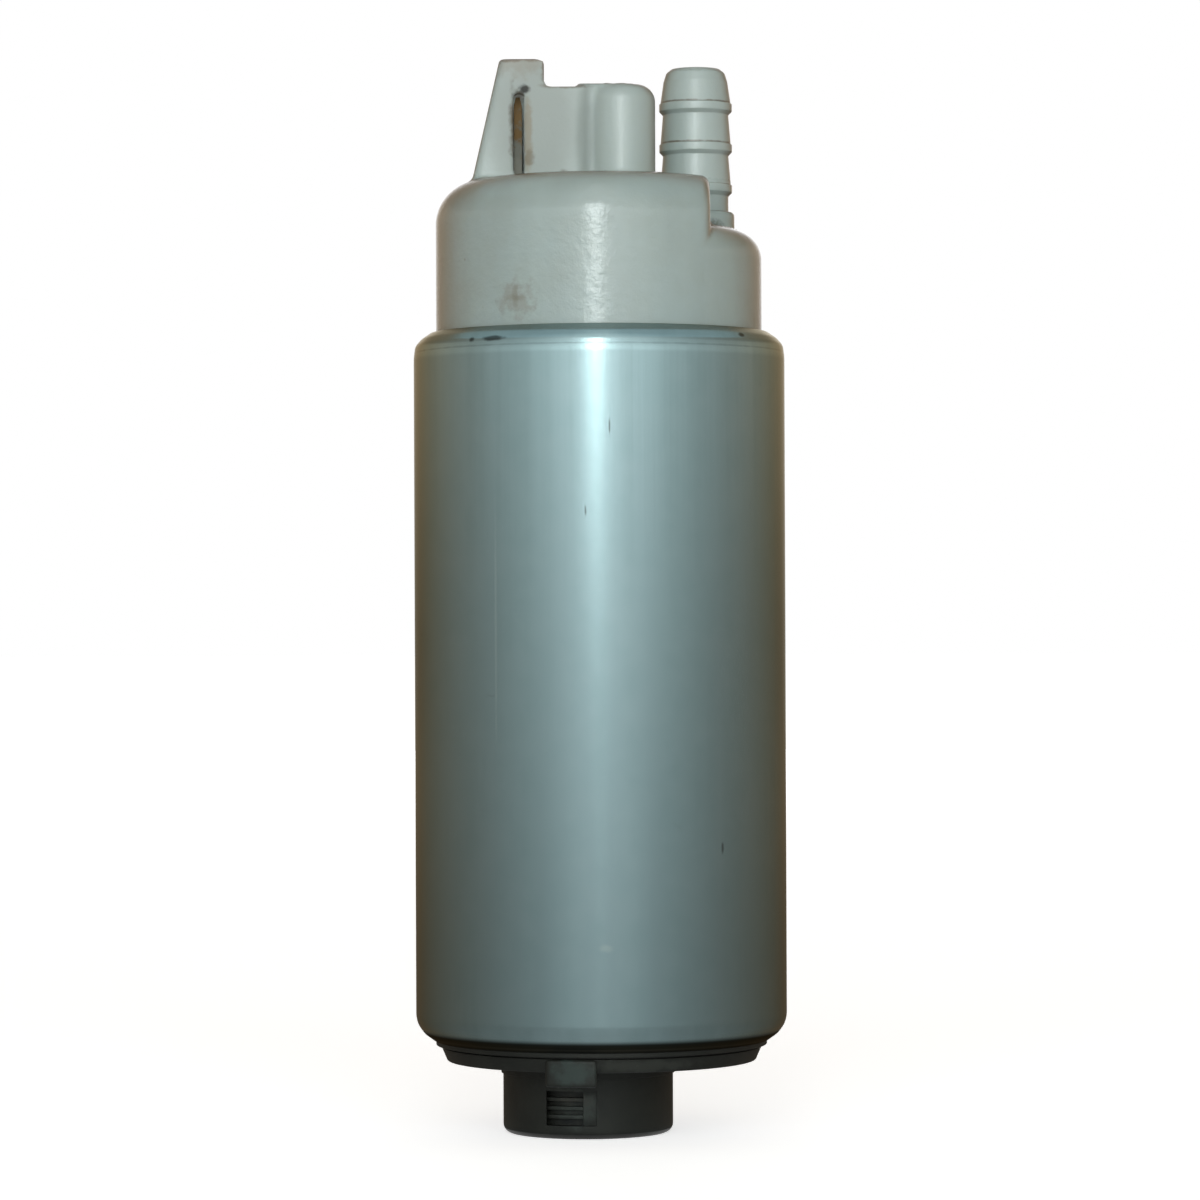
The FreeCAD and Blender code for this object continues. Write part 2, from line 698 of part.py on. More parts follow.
def shaft():
    """Ground shaft from the thrust button to the upper bearing, flatted in the rotor."""
    foot = PLATE_Z + BLIND_FLOOR + THRUST_BUTTON
    flat_top = OUTLET_PLATE_Z + FIT
    top = CAP_Z + UPPER_BEARING_LENGTH + SHAFT_END - BEARING_PROUD
    plain = rod(SHAFT_RADIUS, flat_top, top)
    driving = flatted_rod(SHAFT_RADIUS, SHAFT_FLAT, foot + FIT, flat_top)
    return plain.fuse(driving).removeSplitter()


def bush(z_low, z_high):
    return tube(SHAFT_RADIUS + RUNNING_GAP, BEARING_RADIUS, z_low, z_high)


def lower_bearing():
    return bush(HUB_TOP - LOWER_BEARING_LENGTH, HUB_TOP)


def upper_bearing():
    return bush(CAP_Z - BEARING_PROUD, CAP_Z - BEARING_PROUD + UPPER_BEARING_LENGTH)


def washer(z_low):
    return tube(SHAFT_RADIUS + FIT, WASHER_RADIUS, z_low, z_low + WASHER)


def lower_thrust_washer():
    return washer(HUB_TOP + FIT)


def upper_thrust_washer():
    return washer(SEGMENT_Z + SEGMENT_THICKNESS)


# Motor

def flux_sleeve():
    """Soft iron sleeve that carries the magnets' flux and spaces the two covers."""
    return tube(SLEEVE_INNER, BODY_RADIUS, MOTOR_Z, CAP_Z)


def magnet(middle):
    high = MAGNET_Z + MAGNET_LENGTH
    return sector(MAGNET_INNER, MAGNET_OUTER, MAGNET_Z, high, middle, MAGNET_HALF_ANGLE)


def magnet_clip(middle):
    """Sheet steel spring that spreads the two magnets against the sleeve."""
    low = MAGNET_Z + (MAGNET_LENGTH - CLIP_LENGTH) / 2.0
    high = low + CLIP_LENGTH
    leg_half = math.degrees(CLIP_SHEET / MAGNET_OUTER / 2.0)
    reach = 90.0 - MAGNET_HALF_ANGLE - math.degrees(2.0 * FIT / MAGNET_OUTER)
    legs = []
    for side in (-1, 1):
        middle_of_leg = middle + side * (reach - leg_half)
        foot = MAGNET_INNER + CLIP_SHEET
        legs.append(sector(foot, MAGNET_OUTER, low, high, middle_of_leg, leg_half))
    back = sector(MAGNET_OUTER - CLIP_SHEET, MAGNET_OUTER, low, high, middle, reach)
    return back.fuse(legs).removeSplitter()


def slot_cutter(z_low, z_high):
    """Space between two neighbouring teeth, on the +X axis, open at the rim."""
    half_pitch = math.pi / SLOTS

    def corner(along, sign):
        x = along * math.cos(half_pitch) + TOOTH_HALF * math.sin(half_pitch)
        y = along * math.sin(half_pitch) - TOOTH_HALF * math.cos(half_pitch)
        return (x, sign * y)

    outer = CORE_RADIUS - TOOTH_TIP
    pocket = [corner(CORE_HUB, -1), corner(outer, -1), corner(outer, 1), corner(CORE_HUB, 1)]
    mouth = SLOT_OPENING / 2.0
    middle = (CORE_HUB + CORE_RADIUS) / 2.0
    opening = block(middle, CORE_RADIUS + BEYOND, -mouth, mouth, z_low, z_high)
    return prism_xy(pocket, z_low, z_high).fuse(opening)


def slotted_disc(z_low, z_high):
    """Round plate with one slot between each pair of teeth and the shaft's hole."""
    disc = rod(CORE_RADIUS, z_low, z_high)
    cutters = [rod(SHAFT_RADIUS + PRESS_GAP, z_low, z_high)]
    for number in range(SLOTS):
        angle = 360.0 * (number + 0.5) / SLOTS
        cutters.append(turned_about_axis(slot_cutter(z_low, z_high), angle))
    return disc.cut(cutters)


def armature_core():
    return slotted_disc(CORE_Z, CORE_TOP)


def lower_insulator():
    """Moulded end plate with the hub that runs on the lower thrust washer."""
    hub = tube(SHAFT_RADIUS + PRESS_GAP, INSULATOR_RADIUS, ARMATURE_Z, CORE_Z - INSULATOR)
    return slotted_disc(CORE_Z - INSULATOR, CORE_Z).fuse(hub).removeSplitter()


def upper_insulator():
    return slotted_disc(CORE_TOP, COMMUTATOR_Z)


def coil_half_width(along):
    """Half the width of a coil, which reaches to the middle of the slots beside it."""
    half_pitch = math.pi / SLOTS
    return along * math.tan(half_pitch) - COIL_GAP / math.cos(half_pitch)


def tooth_coil():
    """Coil wound round one tooth, which points along +X."""
    near = CORE_HUB + COIL_SETBACK
    far = (CORE_RADIUS - TOOTH_TIP) * math.cos(math.pi / SLOTS) ** 2 - COIL_SETBACK / 2.0
    low = CORE_Z - INSULATOR - END_TURN
    high = COMMUTATOR_Z + END_TURN
    outline = [
        (near, -coil_half_width(near)),
        (far, -coil_half_width(far)),
        (far, coil_half_width(far)),
        (near, coil_half_width(near)),
    ]
    inside = TOOTH_HALF + COIL_GAP
    window = block(0.0, CORE_RADIUS, -inside, inside, CORE_Z - INSULATOR, COMMUTATOR_Z)
    lead = rod(COIL_LEAD, high - FIT, DISC_Z, far - 2.0 * COIL_LEAD)
    return prism_xy(outline, low, high).cut(window).fuse(lead)


def armature_windings():
    """One coil on each tooth, with a lead up to the commutator."""
    return group([turned_about_axis(tooth_coil(), 360.0 * n / SLOTS) for n in range(SLOTS)])


def commutator_body():
    """Moulded hub and disc that carry the copper segments."""
    hub = rod(INSULATOR_RADIUS, COMMUTATOR_Z, DISC_Z)
    disc = rod(COMMUTATOR_RADIUS, DISC_Z, SEGMENT_Z)
    boss = rod(WASHER_RADIUS, SEGMENT_Z, SEGMENT_Z + SEGMENT_THICKNESS)
    bore = rod(SHAFT_RADIUS + PRESS_GAP, COMMUTATOR_Z, SEGMENT_Z + SEGMENT_THICKNESS)
    return hub.fuse([disc, boss]).cut(bore).removeSplitter()


def commutator_segments():
    """Copper segments of the flat commutator, each with a tang bent down over the rim."""
    inner = WASHER_RADIUS + FIT
    top = SEGMENT_Z + SEGMENT_THICKNESS
    outer = COMMUTATOR_RADIUS + FIT
    half = 180.0 / SLOTS - math.degrees(SEGMENT_GAP / COMMUTATOR_RADIUS / 2.0)
    segments = []
    for number in range(SLOTS):
        angle = 360.0 * number / SLOTS
        plate = sector(inner, outer + TANG, SEGMENT_Z, top, angle, half)
        tang = sector(outer, outer + TANG, DISC_Z - TANG, SEGMENT_Z, angle,
                      half * TANG_SHARE)
        segments.append(plate.fuse(tang).removeSplitter())
    return group(segments)


# Brushes

def on_brush(shape, angle):
    """Turn a shape drawn on the +X axis to the brush at this angle."""
    return turned_about_axis(shape, angle)


def brush_block(gap, z_low, z_high):
    near = BRUSH_CIRCLE - BRUSH_DEPTH / 2.0 - gap
    far = BRUSH_CIRCLE + BRUSH_DEPTH / 2.0 + gap
    half = BRUSH_WIDTH / 2.0 + gap
    return block(near, far, -half, half, z_low, z_high)


def brush(angle):
    """Carbon brush standing on the face of the commutator."""
    return on_brush(brush_block(0.0, BRUSH_Z, BRUSH_TOP), angle)


def brush_shunt(angle):
    """Flexible copper lead rooted in the brush, drawn straight up inside the spring."""
    lead = rod(SHUNT_RADIUS, BRUSH_TOP, BRUSH_TOP + SHUNT_LENGTH, BRUSH_CIRCLE)
    return on_brush(lead, angle)


def brush_spring(angle):
    x, y = on_circle(BRUSH_CIRCLE, angle)
    return coil_spring(BRUSH_SPRING_RADIUS, BRUSH_WIRE, BRUSH_TOP, GUIDE_TOP,
                       BRUSH_SPRING_TURNS, x, y)


def brush_guide(angle):
    """Square guide hole in the outlet cover, with room above for the lead."""
    lead_top = BRUSH_TOP + SHUNT_LENGTH + BRUSH_TRAVEL + SHUNT_ROOM
    hole = brush_block(FIT, CAP_Z, GUIDE_TOP)
    lead = rod(2.0 * SHUNT_RADIUS, GUIDE_TOP, lead_top, BRUSH_CIRCLE)
    return on_brush(hole.fuse(lead), angle)


# Outlet cover

def cover_blank():
    """Turned body of the outlet cover up to the level of the hose barb."""
    high = CAN_TOP - TOP_ROLL
    top_centre = CAN_RADIUS - TOP_ROLL
    shoulder = TOP_ROLL - CAN_WALL - FIT
    seal_low = CAP_Z + CAP_SEAL_SETBACK
    seal_high = seal_low + CAP_SEAL
    step_low = STEP_Z - STEP_EDGE
    step_centre = CAP_NECK_RADIUS - STEP_EDGE
    return turned([
        (0.0, CAP_Z),
        (BODY_RADIUS, CAP_Z),
        (BODY_RADIUS, seal_low),
        (BODY_RADIUS - SEAL_DEPTH, seal_low),
        (BODY_RADIUS - SEAL_DEPTH, seal_high),
        (BODY_RADIUS, seal_high),
        (BODY_RADIUS, high),
        (arc_point(top_centre, high, shoulder, 45), (top_centre, high + shoulder)),
        (CAP_NECK_RADIUS, high + shoulder),
        (CAP_NECK_RADIUS, step_low),
        (arc_point(step_centre, step_low, STEP_EDGE, 45), (step_centre, STEP_Z)),
        (0.0, STEP_Z),
    ])


def raised_part():
    """Higher part of the cover, cut back in a round pocket that clears the hose."""
    low = STEP_Z - STEP_EDGE
    centre = CAP_NECK_RADIUS - RAISED_EDGE
    round_low = RAISED_Z - RAISED_EDGE
    blank = turned([
        (0.0, low),
        (CAP_NECK_RADIUS, low),
        (CAP_NECK_RADIUS, round_low),
        (arc_point(centre, round_low, RAISED_EDGE, 45), (centre, RAISED_Z)),
        (0.0, RAISED_Z),
    ])
    room = block(-CAN_RADIUS, STEP_X, -CAN_RADIUS, CAN_RADIUS, low, RAISED_Z)
    room = room.cut(rod(HOSE_POCKET, STEP_Z, RAISED_Z, BARB_X, BARB_Y))
    edges = [edge for edge in room.Edges if is_wall_top(edge)]
    return blank.common(room.makeFillet(WALL_EDGE, edges))


def is_wall_top(edge):
    """True for the upper edges of the wall that faces the hose barb."""
    box = edge.BoundBox
    level = box.ZMin > RAISED_Z - TINY
    curved = isinstance(edge.Curve, Part.Circle)
    facing = box.XMin > STEP_X - TINY
    return level and (curved or facing)


def shroud_left(z):
    """X of the connector's sloping left wall at a height."""
    share = (z - RAISED_Z) / (TAB_Z - RAISED_Z)
    return SHROUD_LEFT_FOOT + share * (SHROUD_LEFT_TOP - SHROUD_LEFT_FOOT)


def connector_shroud():
    """Open-topped box round the two blades, with a tall tab and a slot in its front."""
    root = RAISED_Z - SHROUD_WALL - WALL_EDGE
    above = TAB_Z + BEYOND
    front = -SHROUD_HALF_DEPTH
    back = SHROUD_HALF_DEPTH
    outer = prism_xz([
        (shroud_left(root), root),
        (SHROUD_RIGHT, root),
        (SHROUD_RIGHT, TAB_Z),
        (shroud_left(TAB_Z), TAB_Z),
    ], front, back)
    corners = [edge for edge in outer.Edges if edge.BoundBox.ZLength > SHROUD_HEIGHT]
    outer = outer.makeFillet(SHROUD_CORNER, corners)
    inner = prism_xz([
        (shroud_left(RAISED_Z) + SHROUD_WALL, RAISED_Z),
        (SHROUD_RIGHT - SHROUD_END_WALL, RAISED_Z),
        (SHROUD_RIGHT - SHROUD_END_WALL, above),
        (shroud_left(above) + SHROUD_WALL, above),
    ], front + SHROUD_WALL, back - SHROUD_WALL)
    beside_tab = prism_xz([
        (TAB_RIGHT, above),
        (TAB_RIGHT, WEB_Z + TAB_FILLET),
        (arc_point(TAB_RIGHT + TAB_FILLET, WEB_Z + TAB_FILLET, TAB_FILLET, 225),
         (TAB_RIGHT + TAB_FILLET, WEB_Z)),
        (RIB_LEFT, WEB_Z),
        (RIB_LEFT, WEB_Z + RIB_RISE),
        (0.0, WEB_Z + RIB_RISE),
        (0.0, above),
    ], front - BEYOND, front + SHROUD_WALL)
    behind_tab = block(-CAN_RADIUS, 0.0, front + SHROUD_WALL, back - SHROUD_WALL, WEB_Z, above)
    over_back = block(-CAN_RADIUS, 0.0, back - SHROUD_WALL, back + BEYOND, WEB_Z + BACK_RISE,
                      above)
    foot = RAISED_Z + SLOT_FOOT
    slot = block(SLOT_LEFT, SLOT_RIGHT, front - BEYOND, front + SHROUD_WALL, foot,
                 foot + SLOT_HEIGHT)
    rib = block(RIB_LEFT, RIB_REACH, front, front + SHROUD_WALL, WEB_Z - RIB_DEPTH,
                WEB_Z + RIB_RISE)
    return outer.cut([inner, beside_tab, behind_tab, over_back, slot]).fuse(rib)


def relief_tower():
    centre = TOWER_RADIUS - TOWER_EDGE
    low = TOWER_Z - TOWER_EDGE
    return turned([
        (0.0, RAISED_Z - TOWER_EDGE),
        (TOWER_RADIUS, RAISED_Z - TOWER_EDGE),
        (TOWER_RADIUS, low),
        (arc_point(centre, low, TOWER_EDGE, 45), (centre, TOWER_Z)),
        (0.0, TOWER_Z),
    ], TOWER_X, TOWER_Y)


def hose_barb():
    """Outlet stem with its collar and a row of barbs."""
    root = STEP_Z - CHAMBER_ROOF / 2.0
    collar = STEP_Z + BARB_COLLAR
    points = [
        (0.0, root),
        (BARB_COLLAR_RADIUS, root),
        (BARB_COLLAR_RADIUS, collar),
        (BARB_STEM, collar + BARB_LAND),
    ]
    for number in range(BARB_COUNT - 1, -1, -1):
        peak = BARB_Z - BARB_TIP - number * BARB_PITCH
        points.append((BARB_STEM, peak - BARB_RAMP - BARB_LAND / 2.0))
        points.append((BARB_PEAK, peak - BARB_LAND / 2.0))
        points.append((BARB_PEAK, peak + BARB_LAND / 2.0))
    centre = BARB_TIP_RADIUS - BARB_NOSE
    points.append((BARB_TIP_RADIUS, BARB_Z - BARB_NOSE))
    points.append((arc_point(centre, BARB_Z - BARB_NOSE, BARB_NOSE, 45), (centre, BARB_Z)))
    points.append((0.0, BARB_Z))
    return turned(points, BARB_X, BARB_Y)


def relief_passages():
    """Feed hole beside the bearing, cross hole, seat hole and the valve's chamber."""
    share = RELIEF_FEED_CIRCLE / math.hypot(TOWER_X, TOWER_Y)
    feed_x = TOWER_X * share
    feed_y = TOWER_Y * share
    cross_z = RELIEF_SEAT_Z - RELIEF_PASSAGE_DROP
    length = math.hypot(feed_x - TOWER_X, feed_y - TOWER_Y)
    start = V(TOWER_X, TOWER_Y, cross_z)
    toward = V(feed_x - TOWER_X, feed_y - TOWER_Y, 0)
    return [
        rod(RELIEF_HOLE, CAP_Z, cross_z, feed_x, feed_y),
        Part.makeCylinder(RELIEF_HOLE, length, start, toward),
        rod(RELIEF_HOLE, cross_z, RELIEF_SEAT_Z, TOWER_X, TOWER_Y),
        rod(RELIEF_CHAMBER, RELIEF_SEAT_Z, TOWER_Z, TOWER_X, TOWER_Y),
    ]


def choke_lead_y(side):
    return side * (CHOKE_Y - CHOKE_COIL_RADIUS + CHOKE_LEAD + 2.0 * FIT)


def choke_pocket(side):
    pocket = rod(CHOKE_POCKET, CAP_Z, CHOKE_TOP_Z, CHOKE_X, side * CHOKE_Y)
    lead = rod(CHOKE_LEAD + FIT, CHOKE_TOP_Z, BLADE_FOOT_Z, CHOKE_X, choke_lead_y(side))
    return pocket.fuse(lead)


def outlet_cover():
    """White moulded cover with the connector, relief valve tower and hose barb."""
    body = cover_blank().fuse([
        raised_part(),
        connector_shroud(),
        relief_tower(),
        hose_barb(),
    ])
    bearing_top = CAP_Z - BEARING_PROUD + UPPER_BEARING_LENGTH
    hollows = [
        rod(BEARING_RADIUS + PRESS_GAP, CAP_Z, bearing_top),
        rod(SHAFT_RADIUS + THRUST_PLAY, bearing_top, bearing_top + SHAFT_END + THRUST_PLAY),
        rod(VALVE_CHAMBER, CAP_Z, CHECK_ROOF_Z, BARB_X, BARB_Y),
        rod(OUTLET_RADIUS, CHECK_ROOF_Z, BARB_Z, BARB_X, BARB_Y),
        brush_guide(BRUSH_ANGLE),
        brush_guide(BRUSH_ANGLE + 180.0),
        choke_pocket(-1),
        choke_pocket(1),
        terminal(-1),
        terminal(1),
    ]
    return body.cut(hollows + relief_passages()).removeSplitter()


def terminal(side):
    """Blade terminal with the flat foot that reaches over its choke. -1 is the front one."""
    middle = BLADE_X[0] if side < 0 else BLADE_X[1]
    half = BLADE_THICKNESS / 2.0
    top = RAISED_Z + BLADE_HEIGHT
    edge = half - BLADE_BEVEL / 4.0
    blade = prism_xz([
        (middle - half, BLADE_FOOT_Z),
        (middle + half, BLADE_FOOT_Z),
        (middle + half, top - BLADE_BEVEL),
        (middle + edge, top),
        (middle - edge, top),
        (middle - half, top - BLADE_BEVEL),
    ], -BLADE_WIDTH / 2.0, BLADE_WIDTH / 2.0)
    near = side * BLADE_WIDTH / 2.0
    far = side * (CHOKE_Y + half)
    foot = block(CHOKE_X - half, middle + half, min(near, far), max(near, far),
                 BLADE_FOOT_Z, BLADE_FOOT_Z + BLADE_THICKNESS)
    return blade.fuse(foot).removeSplitter()


def choke_core(side):
    """Ferrite rod hung in its pocket in the outlet cover."""
    return rod(CHOKE_CORE_RADIUS, CHOKE_TOP_Z - CHOKE_CORE_LENGTH, CHOKE_TOP_Z, CHOKE_X,
               side * CHOKE_Y)


def choke_coil(side):
    """Closely wound coil on the ferrite rod, with a lead up to the terminal's foot."""
    top = CHOKE_TOP_Z - (CHOKE_CORE_LENGTH - CHOKE_COIL_LENGTH) / 2.0
    low = top - CHOKE_COIL_LENGTH
    inner = CHOKE_CORE_RADIUS + PRESS_GAP
    coil = tube(inner, CHOKE_COIL_RADIUS, low, top, CHOKE_X, side * CHOKE_Y)
    lead = rod(CHOKE_LEAD, top, BLADE_FOOT_Z, CHOKE_X, choke_lead_y(side))
    return coil.fuse(lead).removeSplitter()


# Valves

def check_valve_seat():
    """Pressed ring with the cone that the outlet plunger closes on."""
    outer = VALVE_CHAMBER - PRESS_GAP
    return turned([
        (SEAT_HOLE, CAP_Z),
        (outer, CAP_Z),
        (outer, CHECK_SEAT_Z),
        (SEAT_HOLE + SEAT_CONE, CHECK_SEAT_Z),
        (SEAT_HOLE, CHECK_SEAT_Z - SEAT_CONE),
    ], BARB_X, BARB_Y)


def plunger_cone_z(radius):
    """Height of the plunger's cone at a radius, just clear of the seat's cone."""
    return CHECK_SEAT_Z - SEAT_CONE + SEAT_PLAY + radius - SEAT_HOLE


def check_plunger_top():
    return plunger_cone_z(PLUNGER_DISC) + PLUNGER_LAND


def check_valve_plunger():
    """Outlet valve with a cone, three guide ribs and a stem inside the spring."""
    tip = SEAT_HOLE - PLUNGER_TIP
    top = check_plunger_top()
    body = turned([
        (0.0, plunger_cone_z(tip)),
        (tip, plunger_cone_z(tip)),
        (PLUNGER_DISC, plunger_cone_z(PLUNGER_DISC)),
        (PLUNGER_DISC, top),
        (PLUNGER_STEM, top),
        (PLUNGER_STEM, top + CHECK_STEM_LENGTH),
        (0.0, top + CHECK_STEM_LENGTH),
    ])
    reach = VALVE_CHAMBER - 2.0 * FIT
    half = GUIDE_RIB / 2.0
    rib_low = plunger_cone_z(PLUNGER_DISC)
    ribs = []
    for number in range(3):
        rib = block(0.0, VALVE_CHAMBER, -half, half, rib_low, top).common(
            rod(reach, rib_low, top))
        ribs.append(turned_about_axis(rib, 120.0 * number))
    plunger = body.fuse(ribs).removeSplitter()
    plunger.translate(V(BARB_X, BARB_Y, 0))
    return plunger


def check_valve_spring():
    return coil_spring(CHECK_SPRING_RADIUS, CHECK_WIRE, check_plunger_top(), CHECK_ROOF_Z,
                       CHECK_SPRING_TURNS, BARB_X, BARB_Y)


def relief_valve_plunger():
    """Flat-faced relief valve with a stem inside the spring."""
    low = RELIEF_SEAT_Z + RUNNING_GAP
    top = low + RELIEF_HEAD_LENGTH
    head = rod(RELIEF_HEAD, low, top, TOWER_X, TOWER_Y)
    stem = rod(RELIEF_STEM, top, top + RELIEF_STEM_LENGTH, TOWER_X, TOWER_Y)
    return head.fuse(stem).removeSplitter()


def relief_valve_spring():
    low = RETAINER_Z - RELIEF_SPRING_LENGTH
    return coil_spring(RELIEF_SPRING_RADIUS, RELIEF_WIRE, low, RETAINER_Z,
                       RELIEF_SPRING_TURNS, TOWER_X, TOWER_Y)


def relief_valve_retainer():
    """Ring pressed into the tower above the spring. Relieved fuel leaves through it."""
    top = RETAINER_Z + RETAINER_LENGTH
    return tube(RELIEF_HOLE, RELIEF_CHAMBER - PRESS_GAP, RETAINER_Z, top, TOWER_X, TOWER_Y)


PIECES = {
    "pump_can": pump_can(),
    "inlet_cover": inlet_cover(),
    "inlet_seal": inlet_seal(),
    "inlet_port_plate": inlet_port_plate(),
    "thrust_button": thrust_button(),
    "cam_ring": cam_ring(),
    "outer_rotor": outer_rotor(),
    "inner_rotor": inner_rotor(),
    "outlet_port_plate": outlet_port_plate(),
    "pump_screws": pump_screws(),
    "locating_pins": locating_pins(),
    "shaft": shaft(),
    "lower_bearing": lower_bearing(),
    "upper_bearing": upper_bearing(),
    "lower_thrust_washer": lower_thrust_washer(),
    "upper_thrust_washer": upper_thrust_washer(),
    "flux_sleeve": flux_sleeve(),
    "front_magnet": magnet(270.0),
    "back_magnet": magnet(90.0),
    "right_magnet_clip": magnet_clip(0.0),
    "left_magnet_clip": magnet_clip(180.0),
    "armature_core": armature_core(),
    "lower_insulator": lower_insulator(),
    "upper_insulator": upper_insulator(),
    "armature_windings": armature_windings(),
    "commutator_body": commutator_body(),
    "commutator_segments": commutator_segments(),
    "outlet_cover": outlet_cover(),
    "outlet_seal": outlet_seal(),
    "back_brush": brush(BRUSH_ANGLE),
    "front_brush": brush(BRUSH_ANGLE + 180.0),
    "back_brush_shunt": brush_shunt(BRUSH_ANGLE),
    "front_brush_shunt": brush_shunt(BRUSH_ANGLE + 180.0),
    "back_brush_spring": brush_spring(BRUSH_ANGLE),
    "front_brush_spring": brush_spring(BRUSH_ANGLE + 180.0),
    "front_terminal": terminal(-1),
    "back_terminal": terminal(1),
    "front_choke_core": choke_core(-1),
    "back_choke_core": choke_core(1),
    "front_choke_coil": choke_coil(-1),
    "back_choke_coil": choke_coil(1),
    "check_valve_seat": check_valve_seat(),
    "check_valve_plunger": check_valve_plunger(),
    "check_valve_spring": check_valve_spring(),
    "relief_valve_plunger": relief_valve_plunger(),
    "relief_valve_spring": relief_valve_spring(),
    "relief_valve_retainer": relief_valve_retainer(),
}

os.makedirs("parts", exist_ok=True)
for name, shape in PIECES.items():
    shape.exportStep("parts/" + name + ".step")
    closed = shape.isValid() and all(solid.isClosed() for solid in shape.Solids)
    state = "closed" if closed else "OPEN"
    print(f"{name}: {len(shape.Solids)} solid(s), {shape.Volume:.1f} mm3, {state}")
print(len(PIECES), "nodes")
print(f"can {2 * CAN_RADIUS:.1f} mm across, {BARB_Z:.1f} mm high over the barb")
print(f"gerotor: gap {FIT} mm, outer rotor turns {INNER_LOBES}/{OUTER_TEETH} of the shaft")
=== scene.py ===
# %% [markdown]
# # In-tank fuel pump
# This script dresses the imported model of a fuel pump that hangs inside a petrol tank: a
# rolled steel can, a white moulded cover above it and a black moulded cover below it.
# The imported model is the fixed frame. Everything is in metres, +Z is up and -Y is the front.

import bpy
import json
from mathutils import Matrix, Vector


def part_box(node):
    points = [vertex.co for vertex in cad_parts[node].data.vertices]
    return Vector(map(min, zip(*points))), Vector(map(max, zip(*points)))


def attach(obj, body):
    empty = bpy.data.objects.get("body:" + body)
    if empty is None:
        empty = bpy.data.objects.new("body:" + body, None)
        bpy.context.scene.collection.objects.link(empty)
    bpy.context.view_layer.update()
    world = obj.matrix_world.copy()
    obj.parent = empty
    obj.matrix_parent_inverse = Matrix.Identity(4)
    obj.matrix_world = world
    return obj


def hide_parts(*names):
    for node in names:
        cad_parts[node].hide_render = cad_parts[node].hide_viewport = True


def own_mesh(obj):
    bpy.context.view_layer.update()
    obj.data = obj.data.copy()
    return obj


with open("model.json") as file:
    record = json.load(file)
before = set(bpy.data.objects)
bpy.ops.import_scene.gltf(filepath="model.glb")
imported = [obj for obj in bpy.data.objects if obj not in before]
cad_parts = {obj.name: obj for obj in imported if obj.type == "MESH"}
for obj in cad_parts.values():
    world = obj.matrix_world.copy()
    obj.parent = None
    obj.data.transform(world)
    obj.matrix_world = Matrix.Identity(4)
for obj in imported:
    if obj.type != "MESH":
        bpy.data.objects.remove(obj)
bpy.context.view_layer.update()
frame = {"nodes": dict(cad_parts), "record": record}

# %% Modules and the scale
import json
import math

import bmesh
import bpy
import numpy as np
from mathutils import Matrix, Vector

MM = 0.001
scene = bpy.context.scene
scene.view_settings.view_transform = "Standard"

# %% [markdown]
# ## The camera
# The rims of the can show as shallow arcs, so the camera stands near, half a metre away and
# close to the object's middle height. It isn't tilted. Its lens is shifted up a little
# instead, so upright edges stay parallel, and a roll of 0.22 degrees leans them as in the
# photo.

# %% Camera
PICTURE = 1200.0
LENS_PIXELS = 4699.0
AXIS_PIXEL = (600.1, 630.0)
ROLL = 0.22
camera_data = bpy.data.cameras.new("camera")
camera_data.sensor_width = 36.0
camera_data.lens = camera_data.sensor_width * LENS_PIXELS / PICTURE
camera_data.shift_x = (PICTURE / 2.0 - AXIS_PIXEL[0]) / PICTURE
camera_data.shift_y = (AXIS_PIXEL[1] - PICTURE / 2.0) / PICTURE
camera = bpy.data.objects.new("camera", camera_data)
camera.location = (0.0, -0.482, 0.0514)
camera.rotation_euler = (math.radians(90.0), math.radians(ROLL), 0.0)
scene.collection.objects.link(camera)
scene.camera = camera
print("lens", round(camera_data.lens, 2), "mm")

# %% [markdown]
# ## Profiles and solids that are turned
# Most of the pump is round about an upright axis. On a lathe, one cutting line makes the
# whole part, and the same holds here: a profile is a short list of radius and height. A
# corner that has a third number gets rounded by that radius, as every real edge is.

# %% Profiles with rounded corners
ARC_STEPS = 6
MOST_OF_SIDE = 0.49


def rounded(corners):
    """Points of a line through (x, z, radius) corners, with each corner rounded."""
    line = []
    for index, corner in enumerate(corners):
        here, radius = np.array(corner[:2], float), (*corner, 0.0)[2]
        if radius == 0.0:
            line.append(tuple(here))
            continue
        sides = [np.array(corners[(index + way) % len(corners)][:2]) - here for way in (-1, 1)]
        back, ahead = [side / np.linalg.norm(side) for side in sides]
        half = math.acos(np.clip(back @ ahead, -1.0, 1.0)) / 2.0
        reach = min(radius / math.tan(half), MOST_OF_SIDE * min(map(np.linalg.norm, sides)))
        radius = reach * math.tan(half)
        middle = (back + ahead) / np.linalg.norm(back + ahead)
        centre = here + middle * radius / math.sin(half)
        first, last = here + back * reach - centre, here + ahead * reach - centre
        sweep = math.pi - 2.0 * half
        for step in range(ARC_STEPS + 1):
            share = step / ARC_STEPS
            ray = first * math.sin((1.0 - share) * sweep) + last * math.sin(share * sweep)
            line.append(tuple(centre + ray * radius / np.linalg.norm(ray)))
    return line


# %% [markdown]
# ## A lathe made of Geometry Nodes
# The can, the hose barb and the black cover's two round parts are all turned, so one node
# tree serves them all. It takes a profile as loose points, lays out a grid with one column
# of those points for each step round, bends the grid round the axis and welds the seam. The
# alternative is the Spin tool, but a tree keeps the number of steps as an input.

# %% Helpers for node trees
def add(tree, kind, inputs=None, **settings):
    """Adds a node, gives its inputs a value or a link each, and gives its outputs."""
    node = tree.nodes.new(kind)
    for name, value in settings.items():
        setattr(node, name, value)
    for name, value in (inputs or {}).items():
        if isinstance(value, bpy.types.NodeSocket):
            tree.links.new(value, node.inputs[name])
        else:
            node.inputs[name].default_value = value
    return node.outputs


